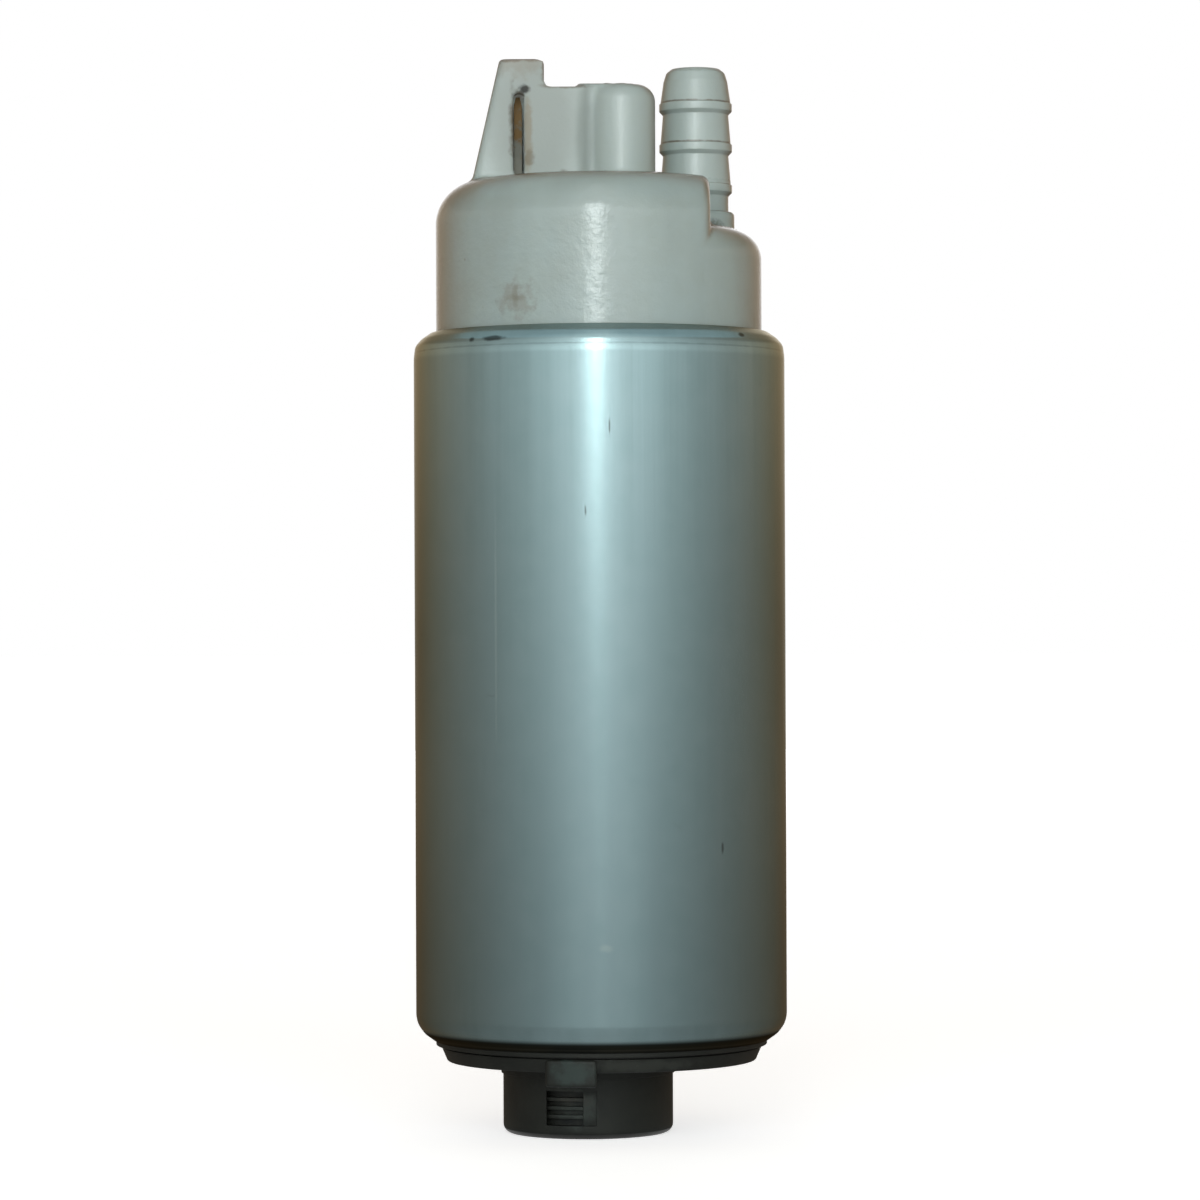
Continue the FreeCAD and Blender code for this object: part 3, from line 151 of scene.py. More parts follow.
def calc(tree, operation, first, second=None):
    """The result of a Math node on outputs or numbers."""
    values = {0: first} if second is None else {0: first, 1: second}
    return add(tree, "ShaderNodeMath", values, operation=operation)[0]


def parts_of(tree, vector):
    """The X, Y and Z outputs of a vector."""
    return add(tree, "ShaderNodeSeparateXYZ", {0: vector})


def new_tree(name, **inputs):
    """A Geometry Nodes tree that takes a geometry, the given inputs and a material."""
    tree = bpy.data.node_groups.new(name, "GeometryNodeTree")
    for word, kind in {"Geometry": "Geometry", **inputs, "Material": "Material"}.items():
        tree.interface.new_socket(word.replace("_", " "), in_out="INPUT",
                                  socket_type="NodeSocket" + kind)
    tree.interface.new_socket("Geometry", in_out="OUTPUT", socket_type="NodeSocketGeometry")
    return tree, add(tree, "NodeGroupInput")


def end_tree(tree, given, mesh):
    """Ends a tree: makes its copies real, sets the material and puts the mesh out."""
    whole = add(tree, "GeometryNodeRealizeInstances", {0: mesh})[0]
    add(tree, "NodeGroupOutput", {0: add(tree, "GeometryNodeSetMaterial", {
        "Geometry": whole, "Material": given["Material"]})[0]})
    print(tree.name, "tree:", len(tree.nodes), "nodes")
    return tree


# %% The lathe tree
WELD = 0.001 * MM


def lathe_tree():
    tree, given = new_tree("lathe", Steps_Round="Int", Axis="Vector")
    count = add(tree, "GeometryNodeAttributeDomainSize",
                {"Geometry": given["Geometry"]})["Point Count"]
    columns = calc(tree, "ADD", given["Steps Round"], 1.0)
    grid = add(tree, "GeometryNodeMeshGrid", {"Vertices X": columns, "Vertices Y": count})
    index = add(tree, "GeometryNodeInputIndex")[0]
    column = calc(tree, "FLOOR", calc(tree, "DIVIDE", index, count))
    share = calc(tree, "DIVIDE", column, given["Steps Round"])
    turn = calc(tree, "MULTIPLY", share, 2.0 * math.pi)
    taken = add(tree, "GeometryNodeSampleIndex",
                {"Geometry": given["Geometry"], "Index": calc(tree, "MODULO", index, count),
                 "Value": add(tree, "GeometryNodeInputPosition")[0]},
                data_type="FLOAT_VECTOR", domain="POINT")
    profile = parts_of(tree, taken["Value"])
    turned = add(tree, "ShaderNodeCombineXYZ", {
        "X": calc(tree, "MULTIPLY", profile["X"], calc(tree, "COSINE", turn)),
        "Y": calc(tree, "MULTIPLY", profile["X"], calc(tree, "SINE", turn)),
        "Z": profile["Z"]})
    shifted = add(tree, "ShaderNodeVectorMath", {0: turned[0], 1: given["Axis"]},
                  operation="ADD")
    moved = add(tree, "GeometryNodeSetPosition",
                {"Geometry": grid["Mesh"], "Position": shifted[0]})
    welded = add(tree, "GeometryNodeMergeByDistance",
                 {"Geometry": moved[0], "Distance": WELD})
    return end_tree(tree, given, welded[0])


LATHE = lathe_tree()


# %% Pieces and their meshes
SHARP, SOFT = 32.0, 50.0
LOOKS = {}


def new_piece(name, points=((0.0, 0.0, 0.0),), faces=()):
    """A new object with its place in its mesh."""
    mesh = bpy.data.meshes.new(name)
    mesh.from_pydata(points, (), faces)
    piece = bpy.data.objects.new(name, mesh)
    scene.collection.objects.link(piece)
    return piece


def settle(piece, sharp=SHARP):
    """Points all faces outwards and shades them smoothly, but not across sharper edges."""
    work = bmesh.new()
    work.from_mesh(piece.data)
    bmesh.ops.recalc_face_normals(work, faces=work.faces)
    if work.calc_volume(signed=True) < 0.0:
        bmesh.ops.reverse_faces(work, faces=work.faces)
    gaps = sum(not edge.is_manifold for edge in work.edges)
    work.to_mesh(piece.data)
    work.free()
    piece.data.shade_smooth()
    piece.data.set_sharp_from_angle(angle=math.radians(sharp))
    print(piece.name, len(piece.data.polygons), "faces,", gaps, "open edges")
    return piece


def keep_result(piece, modifier):
    """Makes what a modifier shows the piece's own mesh."""
    shown = piece.evaluated_get(bpy.context.evaluated_depsgraph_get())
    mesh = bpy.data.meshes.new_from_object(shown)
    piece.modifiers.remove(modifier)
    piece.data = mesh


def run_tree(piece, tree, **inputs):
    """Runs a tree on a piece with its named inputs set and keeps the mesh."""
    modifier = piece.modifiers.new(tree.name, "NODES")
    modifier.node_group = tree
    for socket in tree.interface.items_tree:
        word = socket.name.lower().replace(" ", "_")
        if socket.in_out == "INPUT" and word in inputs:
            modifier[socket.identifier] = inputs[word]
    keep_result(piece, modifier)


def stands_for(piece, node):
    """Shows a piece on the housing in place of a node."""
    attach(piece, "housing")
    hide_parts(node)
    return piece


def turn_piece(name, node, slot, profile, steps=128, axis=(0.0, 0.0), sharp=SHARP):
    """A turned piece in place of a node, from a closed profile in millimetres."""
    piece = new_piece(name, [(x * MM, 0.0, z * MM) for x, z in profile + profile[:1]])
    run_tree(piece, LATHE, steps_round=steps, axis=(axis[0] * MM, axis[1] * MM, 0.0),
             material=LOOKS[slot])
    return stands_for(settle(piece, sharp), node)

# %% [markdown]
# ## Moulded parts described by distance
# A moulding has a small round in every corner, also where a tower stands on a curved top.
# Booleans with a bevel often fail at such places. So the white cover and the key block are
# described by one question: how far is this point from the surface? Inside, the answer is
# negative. The smaller of two distances joins two forms and the larger one keeps what they
# share. A round of a given radius comes from a quarter circle between the two answers.

# %% Distances in millimetres
def outline_distance(x, z, outline):
    """Distance in a plane to a closed outline, negative inside it."""
    nearest = np.full(x.shape, np.inf)
    inside = np.zeros(x.shape, bool)
    for (x0, z0), (x1, z1) in zip(outline, outline[1:] + outline[:1]):
        along_x, along_z = x1 - x0, z1 - z0
        if along_x == 0.0 and along_z == 0.0:
            continue
        share = ((x - x0) * along_x + (z - z0) * along_z) / (along_x ** 2 + along_z ** 2)
        share = np.clip(share, 0.0, 1.0)
        gap = (x - x0 - share * along_x) ** 2 + (z - z0 - share * along_z) ** 2
        nearest = np.minimum(nearest, gap)
        if along_z != 0.0:
            crossed = (z0 > z) != (z1 > z)
            inside ^= crossed & (x < x0 + (z - z0) * along_x / along_z)
    return np.where(inside, -1.0, 1.0) * np.sqrt(nearest)


def span(value, low, high):
    """Distance to the slab between two levels."""
    return np.maximum(low - value, value - high)


def post(x, y, radius, centre=(0.0, 0.0)):
    """Distance to an endless upright cylinder."""
    return np.hypot(x - centre[0], y - centre[1]) - radius


def shared(first, second, edge=0.0):
    """What two forms share, with its outer edge rounded."""
    rounding = np.hypot(np.maximum(edge + first, 0.0), np.maximum(edge + second, 0.0))
    return np.minimum(-edge, np.maximum(first, second)) + rounding


def joined(first, second, fillet=0.0):
    """Two forms in one, with a fillet in the corner between them."""
    rounding = np.hypot(np.maximum(fillet - first, 0.0), np.maximum(fillet - second, 0.0))
    return np.maximum(fillet, np.minimum(first, second)) - rounding


def without(first, second, edge=0.0):
    """The first form less the second, with the rim of the cut rounded."""
    return shared(first, -second, edge)


# %% [markdown]
# ### From distances to a mesh
# The distance is sampled on a grid. Every grid edge whose ends lie on opposite sides of the
# surface gets one four-sided face, with its corners in the four cells round that edge. A
# few steps downhill then put each vertex on the surface, so the mesh is exact and
# smooth although the grid is coarse. A voxel remesh would work too, but it blurs the form.

# %% The skin of a distance
NUDGE, SLIDES, LEAST_STEEPNESS = 0.02, 4, 0.25


def on_surface(distance, points, reach):
    """Moves points on to the surface by steps along the distance's slope."""
    for _ in range(SLIDES):
        here = distance(*points.T)
        slope = np.empty_like(points)
        for axis, shift in enumerate(NUDGE * np.eye(3)):
            slope[:, axis] = distance(*(points + shift).T) - distance(*(points - shift).T)
        slope /= 2.0 * NUDGE
        steepness = np.maximum((slope ** 2).sum(axis=1), LEAST_STEEPNESS)
        points = points + slope * np.clip(-here / steepness, -reach, reach)[:, None]
    return points


def skin(name, node, slot, distance, low, high, step):
    """A closed piece in place of a node where the distance is zero. In millimetres."""
    low = np.array(low, float)
    counts = np.ceil((np.array(high) - low) / step).astype(int) + 1
    axes = [low[axis] + step * np.arange(counts[axis]) for axis in range(3)]
    values = distance(*np.meshgrid(*axes, indexing="ij"))
    inside = values < 0.0
    total, hits = np.zeros((*counts, 3)), np.zeros(counts, int)
    units = np.eye(3, dtype=int)
    quads = []
    for axis in range(3):
        unit, across, beyond = units[axis], units[(axis + 1) % 3], units[axis - 1]
        cell = np.argwhere(inside != np.roll(inside, -1, axis=axis))
        start, end = values[tuple(cell.T)], values[tuple((cell + unit).T)]
        place = low + step * (cell + (start / (start - end))[:, None] * unit)
        corners = [cell - across - beyond, cell - beyond, cell, cell - across]
        for corner in corners:
            np.add.at(total, tuple(corner.T), place)
            np.add.at(hits, tuple(corner.T), 1)
        quads.append((corners, start < 0.0))
    used = hits > 0
    numbers = np.full(counts, -1)
    numbers[used] = np.arange(used.sum())
    points = on_surface(distance, total[used] / hits[used][:, None], step)
    faces = []
    for corners, outwards in quads:
        ring = np.stack([numbers[tuple(corner.T)] for corner in corners], axis=1)
        faces += np.where(outwards[:, None], ring, ring[:, ::-1]).tolist()
    piece = new_piece(name, (points * MM).tolist(), faces)
    piece.data.materials.append(LOOKS[slot])
    return stands_for(settle(piece, SOFT), node)

# %% [markdown]
# ## Shared effects for the finishes
# No real surface has one flat colour. Five effects return on several materials here, so
# each is a node group with named inputs: a grain, long streaks, fine scratches, specks and
# single marks such as a smudge or a painted shadow. A group only puts out values that change over
# the surface.
# The shader itself stays in each material, where a colour that is the same all over is set
# on its own socket.

# %% Helpers for shader nodes
def value_group(name, outputs, numbers=(), vectors=()):
    """A shader group with float and vector inputs and float outputs."""
    group = bpy.data.node_groups.new(name, "ShaderNodeTree")
    for titles, way, kind in ((numbers, "INPUT", "Float"), (vectors, "INPUT", "Vector"),
                              (outputs, "OUTPUT", "Float")):
        for title in titles:
            group.interface.new_socket(title, in_out=way, socket_type="NodeSocket" + kind)
    return group, add(group, "NodeGroupInput")


def surface_point(tree):
    """The point on the surface in the object's own coordinates, in metres."""
    return add(tree, "ShaderNodeTexCoord")["Object"]


def height_of(tree):
    """The height of the point on the surface."""
    return parts_of(tree, surface_point(tree))["Z"]


def vector_of(tree, operation, first, second):
    """The vector from a Vector Math node."""
    return add(tree, "ShaderNodeVectorMath", {0: first, 1: second}, operation=operation)[0]


def scaled(tree, vector, factor):
    """A vector times one number."""
    return add(tree, "ShaderNodeVectorMath", {0: vector, "Scale": factor}, operation="SCALE")[0]


def length_of(tree, vector):
    """The length of a vector."""
    return add(tree, "ShaderNodeVectorMath", {0: vector}, operation="LENGTH")["Value"]


def noise(tree, vector, scale, detail, roughness=0.55):
    """Soft noise from 0 to 1."""
    return add(tree, "ShaderNodeTexNoise",
               {"Vector": vector, "Scale": scale, "Detail": detail, "Roughness": roughness},
               noise_dimensions="3D")[0]


def ramp(tree, value, low, high, start=0.0, end=1.0):
    """Runs smoothly from start to end while the value goes from low to high."""
    limits = {"Value": value, "From Min": low, "From Max": high, "To Min": start,
              "To Max": end}
    return add(tree, "ShaderNodeMapRange", limits,
               interpolation_type="SMOOTHSTEP")["Result"]


# %% Grain: an uneven tone and a fine height
def grain_group():
    group, given = value_group("grain", ("Tone", "Height"), ("Fineness",))
    fine = scaled(group, surface_point(group), given["Fineness"])
    clouds = noise(group, scaled(group, fine, 0.11), 1.0, 4.0, 0.6)
    add(group, "NodeGroupOutput", {"Tone": ramp(group, clouds, 0.3, 0.7),
                                   "Height": noise(group, fine, 1.0, 5.0, 0.65)})
    return group


# %% Streaks: long lines along one axis, as drawing leaves on a can
def streak_group():
    group, given = value_group("streaks", ("Tone", "Line"), vectors=("Fineness",))
    drawn = vector_of(group, "MULTIPLY", surface_point(group), given["Fineness"])
    broad = noise(group, drawn, 0.22, 2.0)
    add(group, "NodeGroupOutput", {"Tone": ramp(group, broad, 0.32, 0.68),
                                   "Line": noise(group, drawn, 1.0, 4.0, 0.7)})
    return group


# %% Scratches: thin lines where a bent noise passes its middle value
def scratch_group():
    group, given = value_group("scratches", ("Mask",), ("Width", "Rarity"), ("Fineness",))
    drawn = vector_of(group, "MULTIPLY", surface_point(group), given["Fineness"])
    wave = noise(group, drawn, 1.0, 1.0, 0.4)
    near = calc(group, "ABSOLUTE", calc(group, "SUBTRACT", wave, 0.5))
    line = ramp(group, near, 0.0, given["Width"], 1.0, 0.0)
    patches = noise(group, drawn, 0.37, 2.0)
    here = ramp(group, patches, given["Rarity"], calc(group, "ADD", given["Rarity"], 0.06))
    add(group, "NodeGroupOutput", {"Mask": calc(group, "MULTIPLY", line, here)})
    return group


# %% Specks: small dots, each with its own size, in a share of the cells
def speck_group():
    group, given = value_group("specks", ("Mask",), ("Fineness", "Size", "Share"))
    cells = add(group, "ShaderNodeTexVoronoi",
                {"Vector": surface_point(group), "Scale": given["Fineness"]}, feature="F1")
    chance = add(group, "ShaderNodeSeparateColor", {0: cells["Color"]})
    size = calc(group, "MULTIPLY", given["Size"], chance["Green"])
    dot = ramp(group, cells["Distance"], 0.0, size, 1.0, 0.0)
    chosen = calc(group, "LESS_THAN", chance["Red"], given["Share"])
    add(group, "NodeGroupOutput", {"Mask": calc(group, "MULTIPLY", dot, chosen)})
    return group


# %% Mark: one soft-edged patch at a place, such as a smudge, a dent, a rubbed band, a painted shadow or a painted highlight
def mark_group():
    group, given = value_group("mark", ("Mask",), ("Ragged",), ("Place", "Size"))
    point = surface_point(group)
    offset = vector_of(group, "SUBTRACT", point, given["Place"])
    reach = length_of(group, vector_of(group, "DIVIDE", offset, given["Size"]))
    uneven = calc(group, "SUBTRACT", noise(group, point, 900.0, 3.0, 0.6), 0.5)
    edge = calc(group, "MULTIPLY", uneven, calc(group, "MULTIPLY", given["Ragged"], 4.0))
    far = calc(group, "ADD", reach, edge)
    add(group, "NodeGroupOutput", {"Mask": ramp(group, far, 0.35, 1.0, 1.0, 0.0)})
    return group


GRAIN, STREAKS, SCRATCHES, SPECKS, MARK = (
    grain_group(), streak_group(), scratch_group(), speck_group(), mark_group())
print("effects:", [group.name for group in (GRAIN, STREAKS, SCRATCHES, SPECKS, MARK)])


# %% [markdown]
# ## A finish
# A finish is one material. This helper keeps its Principled shader and a running colour:
# each effect mixes another colour into what came before, as layers of paint would.

# %% The finish helper
def new_look(name, colour, sockets):
    """A material, and its Principled shader with some sockets set."""
    look = bpy.data.materials.new(name)
    look.use_nodes = True
    shader = look.node_tree.nodes["Principled BSDF"]
    for title, value in {"Base Color": (*colour, 1.0), **sockets}.items():
        shader.inputs[title].default_value = value
    return look, shader


class Finish:
    """One material, built up layer by layer."""

    def __init__(self, name, colour, roughness, metallic=0.0, sockets=None):
        self.material, self.shader = new_look(
            name, colour, {"Roughness": roughness, "Metallic": metallic, **(sockets or {})})
        self.material.diffuse_color = (*colour, 1.0)
        self.tree = self.material.node_tree
        self.colour, self.roughness, self.height = (*colour, 1.0), roughness, 0.0
        LOOKS[name] = self.material

    def effect(self, group, output, **inputs):
        """An effect with its own values. Gives one of its outputs."""
        values = {title.capitalize(): value for title, value in inputs.items()}
        return add(self.tree, "ShaderNodeGroup", values, node_tree=group)[output]

    def tint(self, mask, colour, strength=1.0):
        """Mixes a colour into the running colour where the mask is bright."""
        share = calc(self.tree, "MULTIPLY", mask, strength)
        self.colour = add(self.tree, "ShaderNodeMix", {
            0: share, 6: self.colour, 7: (*colour, 1.0)}, data_type="RGBA")[2]

    def mark(self, place, size, colour, strength, ragged=0.3):
        """Tints one patch, given in millimetres. Gives its mask."""
        mask = self.effect(MARK, "Mask", place=[part * MM for part in place],
                           size=[part * MM for part in size], ragged=ragged)
        self.tint(mask, colour, strength)
        return mask

    def roughen(self, mask, amount):
        """Adds to the running roughness where the mask is bright."""
        self.roughness = calc(self.tree, "ADD", calc(self.tree, "MULTIPLY", mask, amount),
                              self.roughness)

    def raise_by(self, mask, amount):
        """Adds a height in metres where the mask is bright."""
        self.height = calc(self.tree, "ADD", calc(self.tree, "MULTIPLY", mask, amount),
                           self.height)

    def done(self):
        """Links the layers to the shader."""
        bump = add(self.tree, "ShaderNodeBump", {"Distance": 1.0, "Height": self.height})
        for title, value in (("Base Color", self.colour), ("Roughness", self.roughness),
                             ("Normal", bump[0])):
            if isinstance(value, bpy.types.NodeSocket):
                self.tree.links.new(value, self.shader.inputs[title])

# %% [markdown]
# ## Finishes of the parts that show
# The can is drawn steel with a satin, slightly blue surface: long upright streaks, a few
# scratches and pale specks. A metal takes its look from what it reflects, so its own colour
# stays even and its edges turn brown by the shader's edge tint; a few thin lines of painted
# shade and painted light are added on it. The white cover is natural nylon that fuel has
# yellowed a little, with painted shade on its edges, its flat front, a groove and its barbs. The
# black cover is filled nylon with a dull grain, with painted shade beside the key block, in the
# pocket and at its foot.

# %% Can steel
can = Finish("can_steel", (0.37, 0.49, 0.51), 0.19, 1.0,
             {"Specular Tint": (0.72, 0.58, 0.42, 1.0)})
upright = can.effect(STREAKS, "Tone", fineness=(2200.0, 2200.0, 25.0))
fine_line = can.effect(STREAKS, "Line", fineness=(5200.0, 5200.0, 40.0))
cloud = can.effect(GRAIN, "Tone", fineness=2600.0)
can.tint(upright, (0.30, 0.41, 0.42), 0.45)
can.tint(cloud, (0.41, 0.52, 0.54), 0.35)
can.tint(fine_line, (0.28, 0.36, 0.37), 0.30)
scratch = can.effect(SCRATCHES, "Mask", fineness=(300.0, 300.0, 60.0), width=0.002, rarity=0.66)
can.tint(scratch, (0.12, 0.13, 0.12), 0.4)
speck = can.effect(SPECKS, "Mask", fineness=420.0, size=0.10, share=0.06)
can.tint(speck, (0.50, 0.58, 0.57), 0.5)
CAN_MARKS_AND_PAINTED_LIGHT = [
    # place and size in millimetres, colour, strength
    # painted shade: a thin dark line round the can where its shoulder meets the side
    ((0.0, 0.0, 79.75), (40.0, 40.0, 0.16), (0.22, 0.29, 0.30), 0.5),
    ((-10.4, -15.4, 80.4), (1.7, 1.6, 0.34), (0.05, 0.06, 0.06), 0.85),
    ((-12.6, -13.7, 80.35), (0.45, 0.7, 0.32), (0.05, 0.06, 0.06), 0.85),
    ((14.3, -11.8, 80.9), (0.5, 0.8, 0.35), (0.05, 0.05, 0.04), 0.8),
    # painted reflection: a thin pale upright line on the left of the can
    ((-10.35, -15.9, 51.8), (0.16, 0.8, 16.0), (0.52, 0.62, 0.62), 0.35),
    ((1.0, -19.0, 71.5), (0.12, 0.6, 0.9), (0.10, 0.11, 0.11), 0.7),
    ((-1.4, -18.9, 63.1), (0.12, 0.6, 0.7), (0.10, 0.11, 0.11), 0.7),
    ((12.1, -14.6, 29.7), (0.16, 0.8, 0.9), (0.10, 0.11, 0.11), 0.7),
    ((0.5, -19.0, 20.0), (0.9, 1.2, 0.5), (0.50, 0.58, 0.57), 0.4),
]
for row in CAN_MARKS_AND_PAINTED_LIGHT:
    can.mark(*row, ragged=0.25)
foot = ramp(can.tree, height_of(can.tree), 0.0103, 0.0109, 1.0, 0.0)
can.tint(foot, (0.012, 0.012, 0.010), 0.97)
# Painted highlight: a thin lighter ring on the blackened foot, standing for the lit edge of a
# rib.
can.mark((0.0, 0.0, 9.8), (40.0, 40.0, 0.14), (0.05, 0.05, 0.045), 0.8, ragged=0.0)
can.roughen(foot, 0.3)
can.roughen(upright, 0.04)
can.roughen(fine_line, 0.05)
can.raise_by(fine_line, 0.000004)
can.done()

# %% White moulding
white = Finish("white_plastic", (0.36, 0.448, 0.444), 0.10, 0.0, {
    "Subsurface Weight": 0.12, "Subsurface Scale": 1.0,
    "Subsurface Radius": (0.0012, 0.0010, 0.0007), "Specular IOR Level": 1.0, "IOR": 1.56})
white.tint(white.effect(GRAIN, "Tone", fineness=1500.0), (0.32, 0.37, 0.34), 0.5)
white.tint(white.effect(STREAKS, "Tone", fineness=(900.0, 900.0, 120.0)),
           (0.42, 0.51, 0.49), 0.4)
above = ramp(white.tree, height_of(white.tree), 0.0955, 0.0985)
white.tint(above, (0.42, 0.496, 0.48))
# Painted shade: the white is darkened to brown towards the edges that turn away from the camera.
shade_where_turned_away = add(white.tree, "ShaderNodeLayerWeight", {"Blend": 0.5})["Facing"]
white.tint(ramp(white.tree, shade_where_turned_away, 0.35, 0.95), (0.19, 0.135, 0.08), 0.92)
# Painted shade: the shroud's flat front face is darkened, and it is also made rougher.
front = white.mark((-6.6, -5.1, 103.0), (7.2, 1.6, 12.0), (0.265, 0.272, 0.252), 0.45, 0.04)
white.roughen(front, 0.34)
white.roughen(above, 0.18)
# Painted shade: a darker band in the groove between the shroud and the tower, also made rougher.
groove_painted_shade = white.mark((-1.3, -4.6, 101.5), (1.4, 2.2, 8.0), (0.26, 0.30, 0.285), 0.6, 0.0)
white.roughen(groove_painted_shade, 0.3)
WHITE_MARKS_AND_PAINTED_SHADE = [
    ((-8.2, -14.5, 84.5), (2.6, 3.0, 2.4), (0.21, 0.175, 0.12), 0.38, 0.5),
    ((-8.2, -5.1, 109.4), (4.5, 1.6, 2.2), (0.25, 0.19, 0.13), 0.4),
    ((-8.0, -5.1, 109.45), (4.0, 1.2, 0.5), (0.15, 0.095, 0.055), 0.7),
    ((-5.45, -5.1, 108.3), (0.4, 1.2, 1.4), (0.15, 0.095, 0.055), 0.6),
    ((-3.2, -5.1, 106.65), (3.6, 1.2, 0.35), (0.15, 0.10, 0.06), 0.6),
    ((-8.2, 3.9, 107.0), (1.4, 1.5, 1.6), (0.06, 0.04, 0.015), 0.9),
    ((-8.7, -4.2, 103.0), (0.6, 1.8, 4.8), (0.08, 0.05, 0.02), 0.85),
    # painted shade: thin dark rings at the top of the upper two barbs
    ((10.07, 4.0, 105.82), (8.0, 8.0, 0.16), (0.12, 0.09, 0.06), 0.8),
    ((10.07, 4.0, 101.62), (8.0, 8.0, 0.16), (0.12, 0.09, 0.06), 0.8),
    ((-7.1, -5.1, 102.0), (0.6, 1.5, 5.5), (0.24, 0.17, 0.08), 0.55),
    ((-7.5, -5.1, 106.3), (0.85, 1.2, 0.65), (0.01, 0.008, 0.003), 1.0),
    ((-7.0, -5.1, 99.4), (0.7, 1.2, 0.9), (0.14, 0.11, 0.06), 0.6),
    ((-3.5, -5.1, 97.8), (0.6, 1.2, 0.5), (0.10, 0.08, 0.05), 0.6),
    ((-8.2, -14.5, 84.5), (1.5, 2.6, 0.45), (0.17, 0.14, 0.095), 0.32),
    ((-8.3, -14.5, 84.7), (0.4, 2.6, 1.4), (0.17, 0.14, 0.095), 0.32),
    ((-8.1, -4.4, 105.7), (0.8, 2.0, 0.9), (0.06, 0.035, 0.01), 0.9),
    ((12.0, 0.0, 92.6), (1.5, 2.5, 1.2), (0.05, 0.06, 0.03), 0.85),
]
for row in WHITE_MARKS_AND_PAINTED_SHADE:
    white.mark(*row)
white.tint(white.effect(SPECKS, "Mask", fineness=520.0, size=0.14, share=0.10),
           (0.20, 0.17, 0.11), 0.5)
white_grain = white.effect(GRAIN, "Height", fineness=5200.0)
white.raise_by(white_grain, 0.000004)
white.raise_by(white.effect(GRAIN, "Height", fineness=1100.0), 0.00004)
white.roughen(white_grain, 0.04)
white.done()

# %% Black moulding
black = Finish("black_plastic", (0.010, 0.011, 0.009), 0.40, 0.0, {"Specular IOR Level": 0.35})
black.tint(black.effect(GRAIN, "Tone", fineness=1800.0), (0.020, 0.021, 0.017), 0.6)
black.tint(black.effect(SPECKS, "Mask", fineness=600.0, size=0.15, share=0.15),
           (0.14, 0.14, 0.12), 0.6)
BLACK_MARKS_AND_PAINTED_SHADE = [
    ((-3.0, -16.4, 7.5), (3.2, 1.2, 1.8), (0.030, 0.046, 0.042), 0.8),
    ((-3.0, -8.6, 3.2), (3.4, 1.8, 2.4), (0.040, 0.050, 0.044), 0.8),
    ((5.0, -15.6, 8.1), (9.0, 4.0, 0.8), (0.030, 0.033, 0.028), 0.8),
    # painted shadow: a thin dark line right of the key block
    ((-0.2, -12.5, 7.4), (0.3, 6.0, 1.7), (0.002, 0.002, 0.002), 0.9),
    # painted shadow: a thin dark line under the key block
    ((-3.0, -9.0, 5.85), (2.9, 1.5, 0.3), (0.002, 0.002, 0.002), 0.9),
    ((-3.7, -8.6, 4.0), (2.6, 1.8, 1.2), (0.046, 0.044, 0.036), 0.8),
    # painted shade: a near-black band along the lower edge of the pocket
    ((-3.7, -8.4, 1.75), (2.8, 2.0, 0.45), (0.002, 0.003, 0.004), 0.95),
    # painted shade: a near-black band round the front of the neck's bottom edge
    ((-1.4, -8.7, 0.0), (14.0, 6.0, 0.8), (0.003, 0.003, 0.003), 0.9),
]
for row in BLACK_MARKS_AND_PAINTED_SHADE:
    black.mark(*row)
black_grain = black.effect(GRAIN, "Height", fineness=5600.0)
black.raise_by(black_grain, 0.00001)
black.roughen(black_grain, 0.18)
black.done()

# %% [markdown]
# ## Finishes of the parts inside
# The parts in the can show when someone hides the can or takes the pump apart. Each has one
# of a few kinds of surface: a cloudy grain, fine lines from a tool or a winding, or small
# pores as pressed powder has. So a table gives each its colour, shine and pattern, and one
# function turns a row of the table into a material.

